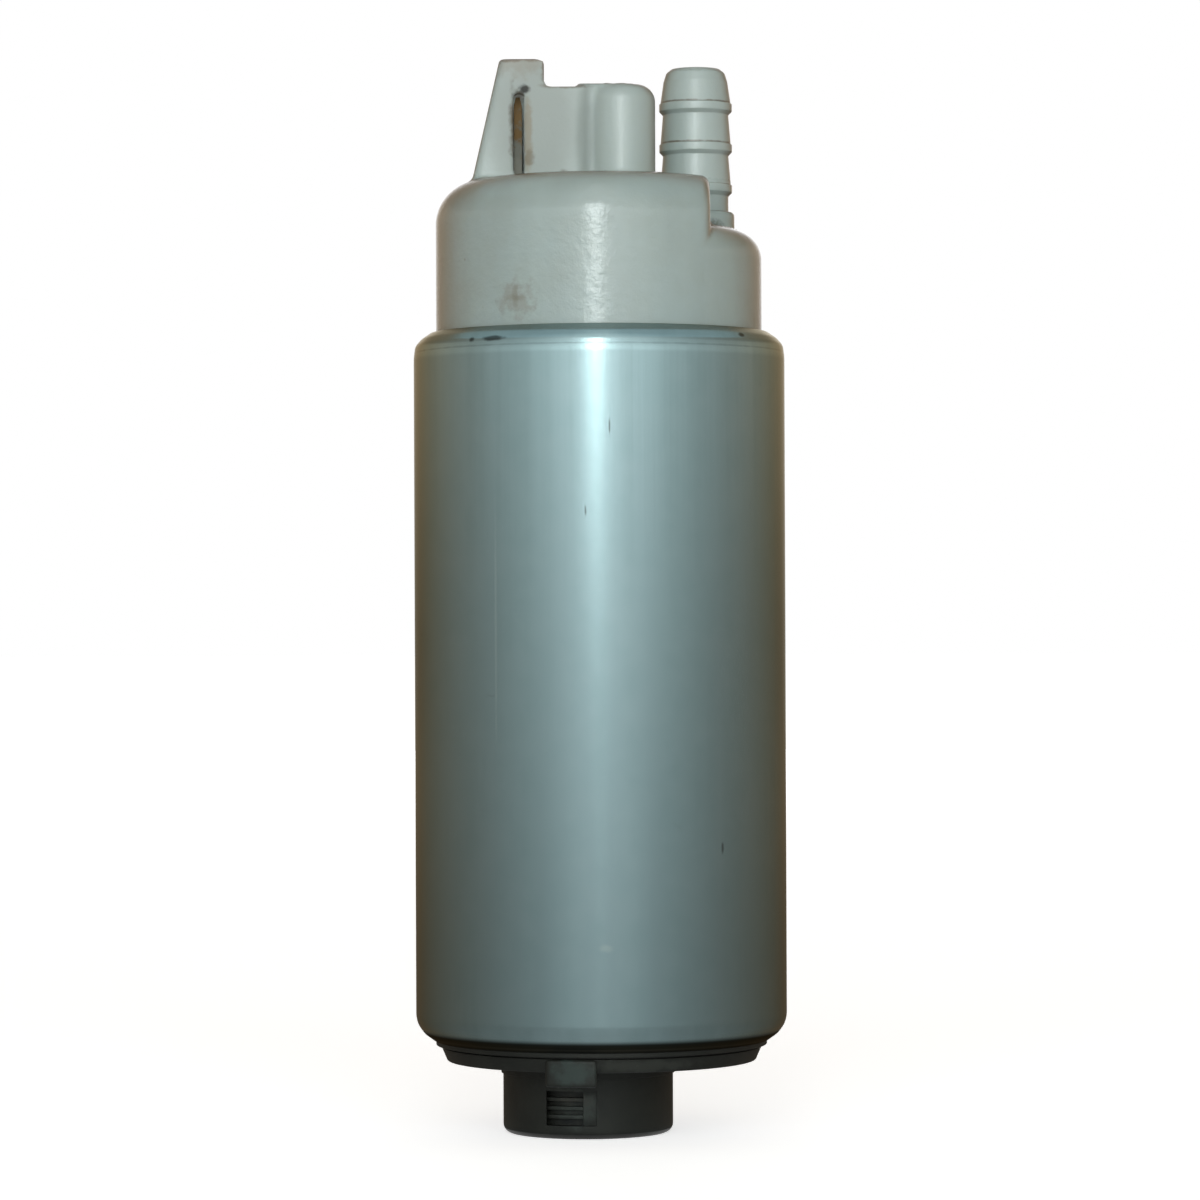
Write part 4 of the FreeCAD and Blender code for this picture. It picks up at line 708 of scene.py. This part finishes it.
# %% Table of finishes inside
ROUND_LINES = (300.0, 300.0, 9000.0)
UPRIGHT_LINES = (5000.0, 5000.0, 60.0)
INSIDE = [
    # slot, colour, roughness, metallic, second colour, pattern, fineness
    ("seal_rubber", (0.016, 0.017, 0.017), 0.55, 0.0, (0.045, 0.045, 0.042), "grain", 2600.0),
    ("port_plate_metal", (0.52, 0.53, 0.52), 0.30, 1.0, (0.36, 0.37, 0.36), "lines", ROUND_LINES),
    ("hardened_steel", (0.60, 0.60, 0.61), 0.18, 1.0, (0.44, 0.44, 0.45), "lines", ROUND_LINES),
    ("screw_steel", (0.12, 0.12, 0.125), 0.35, 1.0, (0.22, 0.20, 0.18), "grain", 3200.0),
    ("bearing_bronze", (0.60, 0.40, 0.19), 0.36, 1.0, (0.24, 0.15, 0.07), "pores", 2400.0),
    ("washer_plastic", (0.60, 0.54, 0.40), 0.45, 0.0, (0.48, 0.42, 0.29), "grain", 1800.0),
    ("sleeve_iron", (0.36, 0.37, 0.38), 0.38, 1.0, (0.26, 0.25, 0.24), "lines", ROUND_LINES),
    ("magnet_ferrite", (0.045, 0.045, 0.050), 0.62, 0.0, (0.11, 0.11, 0.11), "pores", 1500.0),
    ("clip_steel", (0.55, 0.56, 0.57), 0.28, 1.0, (0.42, 0.42, 0.43), "lines", UPRIGHT_LINES),
    ("spring_steel", (0.58, 0.58, 0.60), 0.24, 1.0, (0.40, 0.40, 0.41), "grain", 6000.0),
    ("winding_copper", (0.50, 0.19, 0.06), 0.30, 0.7, (0.30, 0.10, 0.03), "lines", UPRIGHT_LINES),
    ("insulator_plastic", (0.05, 0.14, 0.09), 0.42, 0.0, (0.035, 0.10, 0.065), "grain", 1600.0),
    ("commutator_copper", (0.68, 0.35, 0.20), 0.28, 1.0, (0.42, 0.20, 0.11), "grain", 2800.0),
    ("sintered_steel", (0.30, 0.30, 0.31), 0.48, 1.0, (0.16, 0.15, 0.15), "pores", 3600.0),
    ("brush_carbon", (0.030, 0.030, 0.032), 0.50, 0.0, (0.075, 0.072, 0.070), "pores", 4200.0),
    ("valve_plastic", (0.60, 0.58, 0.50), 0.40, 0.0, (0.50, 0.47, 0.38), "grain", 1700.0),
]


# %% One row becomes one material
def inside_finish(name, colour, roughness, metallic, second, pattern, fineness):
    look = Finish(name, colour, roughness, metallic)
    if pattern == "lines":
        mask = look.effect(STREAKS, "Line", fineness=fineness)
    elif pattern == "pores":
        mask = look.effect(SPECKS, "Mask", fineness=fineness, size=0.5, share=0.6)
    else:
        mask = look.effect(GRAIN, "Tone", fineness=fineness)
    look.tint(mask, second, 0.9)
    look.roughen(mask, 0.12)
    look.raise_by(look.effect(GRAIN, "Height", fineness=5000.0), 0.00001)
    look.done()


for row in INSIDE:
    inside_finish(*row)

# %% [markdown]
# The brass blade that shows in the connector's slot has stood in fuel for years: brown at
# its free end and dull grey below.

# %% Terminal brass
brass = Finish("terminal_brass", (0.22, 0.215, 0.18), 0.48, 0.5)
brass.tint(brass.effect(GRAIN, "Tone", fineness=3000.0), (0.12, 0.12, 0.10), 0.7)
brass.tint(brass.effect(MARK, "Mask", place=(-0.0082, -0.0024, 0.1046),
                        size=(0.004, 0.012, 0.0050), ragged=0.9), (0.17, 0.095, 0.028), 0.95)
brass.tint(brass.effect(SPECKS, "Mask", fineness=1500.0, size=0.5, share=0.4),
           (0.05, 0.035, 0.015), 0.7)
brass.raise_by(brass.effect(GRAIN, "Height", fineness=4000.0), 0.00002)
brass.done()

# %% Each node of the frame gets its finish
for part in frame["record"]["subparts"]:
    for place in frame["nodes"][part["node"]].material_slots:
        place.material = LOOKS[part["material_slot"]]

# %% [markdown]
# ## Springs
# Each brush and each valve plunger is pressed by a wire spring that gets shorter as the
# piece lifts. These springs are made here in place of the CAD solids, at one length. A spring
# is a rule with a few numbers, so it is a Geometry Nodes tree: a flat spiral is lifted along
# its turns, with a close turn at each end, and a round wire is drawn along it.

# %% The tree that winds a spring
WIRE_SIDES, STEPS_PER_TURN = 10, 24


def spring_tree():
    sizes = dict.fromkeys(("Turns", "Radius", "Wire", "Length", "Close"), "Float")
    tree, given = new_tree("spring", **sizes)
    turns, close = given["Turns"], given["Close"]
    spiral = add(tree, "GeometryNodeCurveSpiral", {
        "Resolution": STEPS_PER_TURN, "Height": 0.0, "Rotations": turns,
        "Start Radius": given["Radius"], "End Radius": given["Radius"]})
    factor = add(tree, "GeometryNodeSplineParameter")["Factor"]
    turn = calc(tree, "MULTIPLY", factor, turns)
    open_turns = calc(tree, "SUBTRACT", turns, 2.0)
    opened = calc(tree, "MAXIMUM", calc(tree, "SUBTRACT", turn, 1.0), 0.0)
    opened = calc(tree, "MINIMUM", opened, open_turns)
    closed = calc(tree, "MULTIPLY", calc(tree, "SUBTRACT", turn, opened), close)
    free = calc(tree, "SUBTRACT", given["Length"], calc(tree, "MULTIPLY", close, 2.0))
    pitch = calc(tree, "DIVIDE", free, open_turns)
    height = calc(tree, "ADD", closed, calc(tree, "MULTIPLY", opened, pitch))
    rise = add(tree, "ShaderNodeCombineXYZ", {"Z": height})[0]
    lifted = add(tree, "GeometryNodeSetPosition", {"Geometry": spiral[0], "Offset": rise})
    wire = add(tree, "GeometryNodeCurvePrimitiveCircle",
               {"Resolution": WIRE_SIDES, "Radius": given["Wire"]})
    drawn = add(tree, "GeometryNodeCurveToMesh", {
        "Curve": lifted[0], "Profile Curve": wire[0], "Fill Caps": True})
    return end_tree(tree, given, drawn[0])


SPRING = spring_tree()

# %% Four springs, each in the place of its CAD solid
SPRINGS = [
    # node, joint that shortens it, wire radius, turns, and the joint's travel in millimetres
    ("back_brush_spring", "back_brush_slide", 0.2, 5.0, 3.0),
    ("front_brush_spring", "front_brush_slide", 0.2, 5.0, 3.0),
    ("check_valve_spring", "check_valve_lift", 0.175, 4.5, 1.5),
    ("relief_valve_spring", "relief_valve_lift", 0.2, 6.5, 1.5),
]
END_PLAY = 0.01 * MM
CLOSE_GAP = 0.42 * MM


def spring(node, joint, wire, turns, travel):
    """A spring that fills its node's box. The joint and its travel are not used."""
    low, high = (Vector(corner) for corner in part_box(node))
    middle = (low + high) / 2.0
    wire *= MM
    piece = new_piece(node + "_coil")
    run_tree(piece, SPRING, turns=turns, radius=(high.x - low.x) / 2.0 - wire, wire=wire,
             length=high.z - low.z - 2.0 * (wire + END_PLAY), close=2.0 * wire + CLOSE_GAP,
             material=LOOKS["spring_steel"])
    piece.data.transform(Matrix.Translation((middle.x, middle.y, low.z + wire + END_PLAY)))
    stands_for(settle(piece), node)
    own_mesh(piece)


for row in SPRINGS:
    spring(*row)


# %% [markdown]
# ## The can
# The real can is a drawn tube whose two ends are rolled in over the covers. Its profile is
# one closed line: up the outside, over the rolled edge, and down the inside 1 mm further in.

# %% Can
can_profile = rounded([
    (16.9, 9.50), (17.15, 9.50, 0.2), (18.15, 10.22, 1.8), (18.78, 11.10, 2.0),
    (19.0, 11.90, 4.0), (19.0, 79.30, 6.0), (18.85, 80.45, 1.0), (18.25, 81.15, 1.8),
    (17.30, 81.80, 0.4), (17.0, 81.80, 0.15), (17.0, 80.85), (17.55, 80.60, 0.3),
    (18.0, 79.80, 0.6), (18.0, 11.60, 0.6), (17.55, 10.80, 0.3), (16.9, 10.50)])
turn_piece("can_shell", "pump_can", "can_steel", can_profile, steps=192)

# %% [markdown]
# ## The white cover
# One moulding carries everything at this end: a round body, a raised half with the
# connector and the relief tower, and a lower half where the hose barb stands with room
# round it for the hose. Each form below answers the distance question for one of these.

# %% Body with its two levels
RADIUS, SILL_Z, STEP_Z, RAISED_Z, WEB_Z, TOWER_Z, TAB_Z = (
    16.7, 88.0, 92.2, 97.3, 106.6, 107.0, 109.4)
AXIS, BARB_AT, TOWER_AT, HOSE_ROOM = (0.0, 0.0), (10.07, 4.0), (2.37, -2.5), 6.2
inner_part = rounded([
    (0.0, 72.0), (17.95, 72.0, 0.3), (17.95, 75.0), (16.6, 75.0), (16.6, 77.0), (17.95, 77.0),
    (17.95, 79.8, 0.9), (17.1, 80.7, 0.3), (RADIUS, 80.7), (RADIUS, 89.0), (0.0, 89.0)])


def cover_body(x, y, z):
    around = post(x, y, RADIUS)
    low = np.minimum(outline_distance(np.hypot(x, y), z, inner_part),
                     shared(shared(around, 80.7 - z), z - STEP_Z, 3.0))
    room = shared(x - 11.2, -post(x, y, HOSE_ROOM, BARB_AT), 0.4)
    high = shared(shared(around, SILL_Z - z), z - RAISED_Z, 4.4)
    high = shared(high, room, 0.8)
    corner = np.maximum(joined(z - STEP_Z, room, 0.5),
                        np.maximum(around + 2.2, span(z, SILL_Z, 92.8)))
    return np.minimum(np.minimum(low, high), corner)


# %% Connector shroud with its tab, its slot and the socket in it
SHROUD_HALF, SOCKET_HALF, WALL = 5.1, 3.9, 1.17


def left_face(x, z):
    """Distance to the shroud's sloping left face."""
    return ((z - RAISED_Z) * 2.7 - (x + 12.8) * 11.75) / math.hypot(2.7, 11.75)


def shroud(x, y, z):
    box = shared(shared(left_face(x, z), np.abs(y) - SHROUD_HALF, 0.8), x + 0.9, 1.2)
    box = shared(np.maximum(box, 94.0 - z), z - TAB_Z, 0.25)
    front_edge = [(-6.0, 111.0), (-6.0, TAB_Z), (-5.62, 109.27), (-5.5, 108.9), (-5.5, 107.2),
                  (-5.32, 106.78), (-4.9, WEB_Z), (1.0, WEB_Z), (1.0, 111.0)]
    over = np.minimum(np.maximum(outline_distance(x, z, front_edge), y + SOCKET_HALF),
                      np.maximum(np.abs(y) - SOCKET_HALF, WEB_Z - z))
    over = np.minimum(over, np.maximum(SOCKET_HALF - y, 107.5 - z))
    slot = shared(span(x, -8.62, -7.5), span(z, 97.6, 105.9), 0.45)
    return without(without(box, over, 0.22), np.maximum(slot, y + SOCKET_HALF), 0.15)


def socket(x, y, z):
    side = np.maximum(left_face(x, z) + WALL, x + 1.5)
    return shared(shared(side, np.abs(y) - SOCKET_HALF, 0.4), 97.35 - z, 0.2)


# %% Hollows that the valves, brushes and chokes need
BRUSH_OUT, BRUSH_TURN, ENDLESS = 6.6, math.radians(60.0), math.inf
HOLES = [
    # centre, radius, lower end, upper end
    (BARB_AT, 3.1, -ENDLESS, 91.0), (BARB_AT, 2.3, 90.0, ENDLESS),
    (TOWER_AT, 1.9, 84.5, ENDLESS),
    (AXIS, 3.42, -ENDLESS, 77.6), (AXIS, 2.3, -ENDLESS, 79.4)]
for side in (-BRUSH_OUT, BRUSH_OUT):
    lead_at = (side * math.cos(BRUSH_TURN), side * math.sin(BRUSH_TURN))
    HOLES += [(lead_at, 0.85, -ENDLESS, 90.25),
              ((-10.5, math.copysign(5.0, side)), 2.1, -ENDLESS, SILL_Z)]


def hollows(x, y, z):
    along = x * math.cos(BRUSH_TURN) + y * math.sin(BRUSH_TURN)
    aside = y * math.cos(BRUSH_TURN) - x * math.sin(BRUSH_TURN)
    guides = np.maximum(np.abs(np.abs(along) - BRUSH_OUT), np.abs(aside)) - 2.36
    cut = np.maximum(guides, z - 84.95)
    for centre, radius, low, high in HOLES:
        cut = np.minimum(cut, np.maximum(post(x, y, radius, centre), span(z, low, high)))
    return cut


# %% The whole cover
FILLET = 0.45


def cover(x, y, z):
    tower = shared(np.maximum(post(x, y, 3.45, TOWER_AT), 94.0 - z), z - TOWER_Z, 1.8)
    rib = shared(span(x, -1.9, 3.0), span(y, -4.2, -1.2), 0.4)
    rib = shared(np.maximum(rib, 105.0 - z), z - TOWER_Z, 0.25)
    tower = np.maximum(joined(tower, rib, 0.8), z - TOWER_Z)
    collar = shared(np.maximum(post(x, y, 4.0, BARB_AT), 90.0 - z), z - 94.5, 0.35)
    solid = joined(joined(cover_body(x, y, z), shroud(x, y, z), FILLET), tower, 1.0)
    solid = np.maximum(solid, np.minimum(z - TOWER_Z, x + 5.0))
    solid = joined(solid, collar, FILLET)
    return without(without(solid, socket(x, y, z), 0.12), hollows(x, y, z), 0.3)


skin("cover_moulding", "outlet_cover", "white_plastic", cover, (-18.6, -18.6, 71.3),
     (18.6, 18.6, 110.0), 0.32)

# %% [markdown]
# ### The hose barb
# A hose slides up over the barbs and can't slip back. Each barb is the same short cone, so
# the profile is made by a loop from the number of barbs, their pitch and their two radii.

# %% Hose barb
BARBS, PITCH, BARB_TOP, TOP_PEAK = 3, 4.2, 109.34, 105.5
BORE, STEM, PEAK = 2.2, 3.38, 3.76
barb_corners = [(BORE, 93.0), (STEM, 93.0)]
for number in reversed(range(BARBS)):
    peak = TOP_PEAK - number * PITCH
    barb_corners += [(STEM, peak - 0.95, 0.2), (PEAK, peak - 0.55, 0.15),
                     (PEAK, peak + 0.2, 0.1), (PEAK - 0.13, peak + 0.26, 0.04)]
barb_corners += [(3.30, BARB_TOP - 1.35, 0.4), (3.02, BARB_TOP - 0.45, 0.6),
                 (2.45, BARB_TOP, 0.5), (BORE, BARB_TOP - 0.1, 0.1)]
turn_piece("hose_barb", "outlet_cover", "white_plastic", rounded(barb_corners),
           steps=96, axis=BARB_AT, sharp=40.0)

# %% [markdown]
# ## The black cover
# Below the can there is a flange, a fine rib that shows as two thin dark lines, and the
# inlet neck that the strainer clips on to. The turned body comes from the same lathe.

# %% Turned parts of the inlet cover
NECK_X = -1.4
base_profile = rounded([
    (8.2, 7.4), (15.8, 7.4, 0.25), (16.4, 8.8, 0.15), (16.1, 8.85), (16.1, 9.0),
    (16.95, 9.0, 0.1), (16.95, 9.45), (16.85, 9.45), (16.85, 10.55), (17.5, 10.85, 0.4),
    (17.95, 11.6, 0.4), (17.95, 12.2), (16.6, 12.2), (16.6, 13.8), (17.95, 13.8),
    (17.95, 14.5), (8.9, 14.5), (8.9, 12.5), (8.2, 11.8)])
turn_piece("inlet_flange", "inlet_cover", "black_plastic", base_profile, steps=160)
neck_profile = rounded([
    (6.5, 0.0), (8.7, 0.0, 0.9), (8.7, 6.1), (8.9, 6.1, 0.1), (8.9, 7.38, 0.2), (9.7, 7.45),
    (9.7, 10.1), (6.5, 10.1)])
inlet_neck = turn_piece("inlet_neck", "inlet_cover", "black_plastic", neck_profile,
                        axis=(NECK_X, 0.0))

# %% [markdown]
# ### The barred window in the neck
# The neck has a shallow pocket with bars across it. The pocket is cut by a boolean, since
# its cutter is a plain block with one curved side. The bars repeat, so a small tree lays a
# line of points and puts a bent bar on each.

# %% Pocket in the neck
LEFT, RIGHT, FLOOR_RADIUS, LOW, HIGH = -5.6, -0.5, 7.6, 1.4, 4.9
CURVE_POINTS, FRONT = 13, -12.0
outline = [(x, -math.sqrt(FLOOR_RADIUS ** 2 - (x - NECK_X) ** 2))
           for x in np.linspace(LEFT, RIGHT, CURVE_POINTS)] + [(RIGHT, FRONT), (LEFT, FRONT)]
count = len(outline)
ring = list(range(count))
cutter = new_piece("pocket_cutter", [(x * MM, y * MM, z * MM) for z in (LOW, HIGH)
                                     for x, y in outline],
                   [ring, [step + count for step in reversed(ring)]]
                   + [(step, step + count, (step + 1) % count + count, (step + 1) % count)
                      for step in ring])
cutter.data.materials.append(LOOKS["black_plastic"])
settle(cutter)
modifier = inlet_neck.modifiers.new("cut", "BOOLEAN")
modifier.operation, modifier.solver, modifier.object = "DIFFERENCE", "EXACT", cutter
keep_result(inlet_neck, modifier)
bpy.data.objects.remove(cutter)
settle(inlet_neck)


# %% The tree that repeats a bent bar
BAR_POINTS, BAR_ROUND, BAR_BACK = 15, 0.07, 7.4


def bar_tree():
    sizes = dict.fromkeys(("Pitch", "Thickness", "Inner", "Outer", "Left", "Right"), "Float")
    tree, given = new_tree("bars", Count="Int", **sizes)

    def between(value, low, high):
        """Maps the width of a unit cube to a range."""
        limits = {"Value": value, "From Min": -0.5, "From Max": 0.5, "To Min": low,
                  "To Max": high}
        return add(tree, "ShaderNodeMapRange", limits)["Result"]

    cube = add(tree, "GeometryNodeMeshCube", {"Vertices X": BAR_POINTS})["Mesh"]
    place = parts_of(tree, add(tree, "GeometryNodeInputPosition")[0])
    turn = between(place["X"], given["Left"], given["Right"])
    radius = between(place["Y"], given["Outer"], given["Inner"])
    back = calc(tree, "MULTIPLY", radius, calc(tree, "COSINE", turn))
    bent = add(tree, "ShaderNodeCombineXYZ", {
        "X": calc(tree, "MULTIPLY", radius, calc(tree, "SINE", turn)),
        "Y": calc(tree, "MULTIPLY", back, -1.0),
        "Z": calc(tree, "MULTIPLY", place["Z"], given["Thickness"])})[0]
    bar = add(tree, "GeometryNodeSetPosition", {"Geometry": cube, "Position": bent})[0]
    step = add(tree, "ShaderNodeCombineXYZ", {"Z": given["Pitch"]})[0]
    line = add(tree, "GeometryNodeMeshLine", {"Count": given["Count"], "Offset": step})[0]
    placed = add(tree, "GeometryNodeInstanceOnPoints", {"Points": line, "Instance": bar})
    return end_tree(tree, given, placed[0])


BARS = bar_tree()


# %% Bars and the upright ridge
def bars(name, low, count, pitch, thickness, outer, left, right):
    """Bent bars, the middle of the lowest one at a height. Sizes are in millimetres."""
    piece = new_piece(name)
    run_tree(piece, BARS, count=count, pitch=pitch * MM, thickness=thickness * MM,
             inner=BAR_BACK * MM, outer=outer * MM, left=math.asin((left - NECK_X) / outer),
             right=math.asin((right - NECK_X) / outer), material=LOOKS["black_plastic"])
    piece.data.transform(Matrix.Translation((NECK_X * MM, 0.0, low * MM)))
    bevel = piece.modifiers.new("soft", "BEVEL")
    bevel.width, bevel.segments = BAR_ROUND * MM, 2
    keep_result(piece, bevel)
    stands_for(settle(piece), "inlet_cover")


bars("window_bars", 2.275, 3, 0.875, 0.4, 8.25, -5.7, -1.7)
bars("window_ridge", 3.15, 1, 0.0, 3.5, 8.6, -1.9, -0.45)


# %% Key block under the flange
def key_block(x, y, z):
    reach = np.hypot(x, y)
    front = np.maximum(span(reach, 7.6, 16.5), y)
    return shared(shared(span(x, -5.6, -0.5), front, 0.3), span(z, 6.0, 8.8), 0.3)


skin("inlet_key", "inlet_cover", "black_plastic", key_block, (-6.2, -17.1, 5.6),
     (0.5, -5.0, 9.2), 0.2)

# %% [markdown]
# ## Stage and light
# The floor is pale and the surround is white. Only rays that look at the floor see it glow,
# and less so near the pump, so that its soft shadow stays. The object is lit by a wide soft
# lamp in front, another behind it and a little light from all round. Bright metal is
# different: it shows what stands round it. So a tall strip lamp above the camera draws the
# line of light on the can. Reflecting rays meet a ring of cards that runs from white in
# front to brown at the sides, a grey table and a pale card above. Photographers darken a
# can's edges in the same way.

# %% Rays that see the background
def seen_rays(tree):
    """1 for camera, glossy and transmission rays, 0 for the light that falls on things."""
    path = add(tree, "ShaderNodeLightPath")
    seen = calc(tree, "MAXIMUM", path["Is Camera Ray"], path["Is Glossy Ray"])
    return calc(tree, "MAXIMUM", seen, path["Is Transmission Ray"])


def flat(name, reach, height=0.0):
    """A level square sheet."""
    corners = [(-reach, -reach), (reach, -reach), (reach, reach), (-reach, reach)]
    return new_piece(name, [(x, y, height) for x, y in corners], [(0, 1, 2, 3)])


# %% Floor
floor = flat("floor", 9.0)
floor_look, floor_shader = new_look("floor_look", (0.84, 0.845, 0.875), {
    "Roughness": 0.9, "Specular IOR Level": 0.0, "Emission Color": (1.0, 1.0, 1.0, 1.0)})
tree = floor_look.node_tree
level = ramp(tree, length_of(tree, surface_point(tree)), 0.5, 1.6, 0.66, 0.9)
glow = calc(tree, "MULTIPLY", seen_rays(tree), level)
tree.links.new(glow, floor_shader.inputs["Emission Strength"])
floor.data.materials.append(floor_look)

# %% World
world = bpy.data.worlds.new("studio")
scene.world = world
world.use_nodes = True
tree = world.node_tree
room = add(tree, "ShaderNodeMix", {0: seen_rays(tree), 6: (0.22, 0.19, 0.15, 1.0),
                                   7: (1.0, 1.0, 1.0, 1.0)}, data_type="RGBA")
tree.links.new(room[2], tree.nodes["Background"].inputs["Color"])


# %% Lamps
def lamp(name, place, aim, size, radiance, colour=(1.0, 1.0, 1.0), mirrored=True):
    """An area lamp of (width, height) that faces a point, as bright as its radiance says."""
    data = bpy.data.lights.new(name, "AREA")
    data.shape, data.color = "RECTANGLE", colour
    data.size, data.size_y = size
    data.energy = radiance * math.pi * size[0] * size[1]
    thing = bpy.data.objects.new(name, data)
    thing.location = place
    thing.rotation_euler = (Vector(aim) - Vector(place)).to_track_quat("-Z", "Y").to_euler()
    thing.visible_glossy = mirrored
    scene.collection.objects.link(thing)


lamp("front_softbox", (0.0, -1.3, 0.45), (0.0, 0.0, 0.05), (1.3, 1.1), 2.5,
     (0.95, 1.0, 1.0), mirrored=False)
lamp("back_softbox", (0.0, 1.4, 0.45), (0.0, 0.0, 0.05), (1.5, 1.3), 1.3, mirrored=False)
lamp("strip", (-0.022, -0.56, 0.225), (0.0, 0.0, 0.075), (0.075, 0.23), 5.3, (0.92, 1.0, 1.0))


# %% Cards that only reflections see
def card(piece, name, value_of, level_of, stops):
    """A card whose glow takes its colour from one value and its strength from another."""
    look, shader = new_look(name, (0.0, 0.0, 0.0), {"Specular IOR Level": 0.0})
    tree = look.node_tree
    colours = add(tree, "ShaderNodeValToRGB", {0: value_of(tree)})
    shades = colours[0].node.color_ramp
    shades.interpolation = "B_SPLINE"
    shades.elements.remove(shades.elements[1])
    for place, colour in stops:
        shades.elements.new(place).color = (*colour, 1.0)
    shades.elements.remove(shades.elements[0])
    tree.links.new(colours[0], shader.inputs["Emission Color"])
    tree.links.new(level_of(tree), shader.inputs["Emission Strength"])
    piece.data.materials.append(look)
    piece.visible_camera = piece.visible_diffuse = piece.visible_shadow = False
    piece.visible_transmission = piece.visible_volume_scatter = False


def share_of_turn(tree, middle=0.0):
    """0 in front and 1 straight behind, from the card's own position."""
    place = parts_of(tree, surface_point(tree))
    aside = calc(tree, "ABSOLUTE", calc(tree, "SUBTRACT", place["X"], middle))
    front = calc(tree, "MULTIPLY", place["Y"], -1.0)
    return calc(tree, "DIVIDE", calc(tree, "ARCTAN2", aside, front), math.pi)


def rising(tree):
    """Brighter up to the lamp's height and dim above it."""
    height = height_of(tree)
    return calc(tree, "MULTIPLY", ramp(tree, height, 0.0, 0.30, 0.62, 2.0),
                ramp(tree, height, 0.42, 0.8, 1.0, 0.6))


def spreading(tree):
    """Darker close to the object."""
    return ramp(tree, length_of(tree, surface_point(tree)), 0.0, 1.2, 0.64, 1.16)


# %% An open ring of cards round the object, a table and a card above
RING_STEPS, RING_RADIUS, RING_HEIGHT = 72, 1.9, 1.6
turns = [2.0 * math.pi * step / RING_STEPS for step in range(RING_STEPS)]
cards = new_piece("cards", [(RING_RADIUS * math.sin(turn), -RING_RADIUS * math.cos(turn), z)
                            for z in (0.0, RING_HEIGHT) for turn in turns],
                  [(step, (step + 1) % RING_STEPS, RING_STEPS + (step + 1) % RING_STEPS,
                    RING_STEPS + step) for step in range(RING_STEPS)])
card(cards, "card_look", lambda tree: share_of_turn(tree, 0.06), rising, [
    (0.0, (0.90, 0.96, 0.96)), (0.08, (0.80, 0.86, 0.86)), (0.18, (0.56, 0.62, 0.61)),
    (0.33, (0.35, 0.38, 0.37)), (0.48, (0.27, 0.27, 0.25)), (0.70, (0.24, 0.19, 0.13)),
    (0.88, (0.26, 0.20, 0.13)), (0.95, (0.7, 0.7, 0.7)), (1.0, (1.0, 1.0, 1.0))])
card(flat("table_card", 1.8, 0.0005), "table_look", share_of_turn, spreading, [
    (0.0, (0.64, 0.69, 0.69)), (0.08, (0.60, 0.65, 0.65)), (0.2, (0.42, 0.46, 0.46)),
    (0.5, (0.24, 0.215, 0.18)), (0.9, (0.20, 0.15, 0.10)), (1.0, (0.3, 0.26, 0.22))])
card(flat("ceiling_card", RING_RADIUS, RING_HEIGHT), "ceiling_look", share_of_turn, spreading, [
    (0.0, (0.90, 0.98, 0.98)), (0.06, (0.85, 0.93, 0.93)), (0.14, (0.52, 0.62, 0.64)),
    (0.35, (0.42, 0.51, 0.53)), (1.0, (0.28, 0.33, 0.33))])
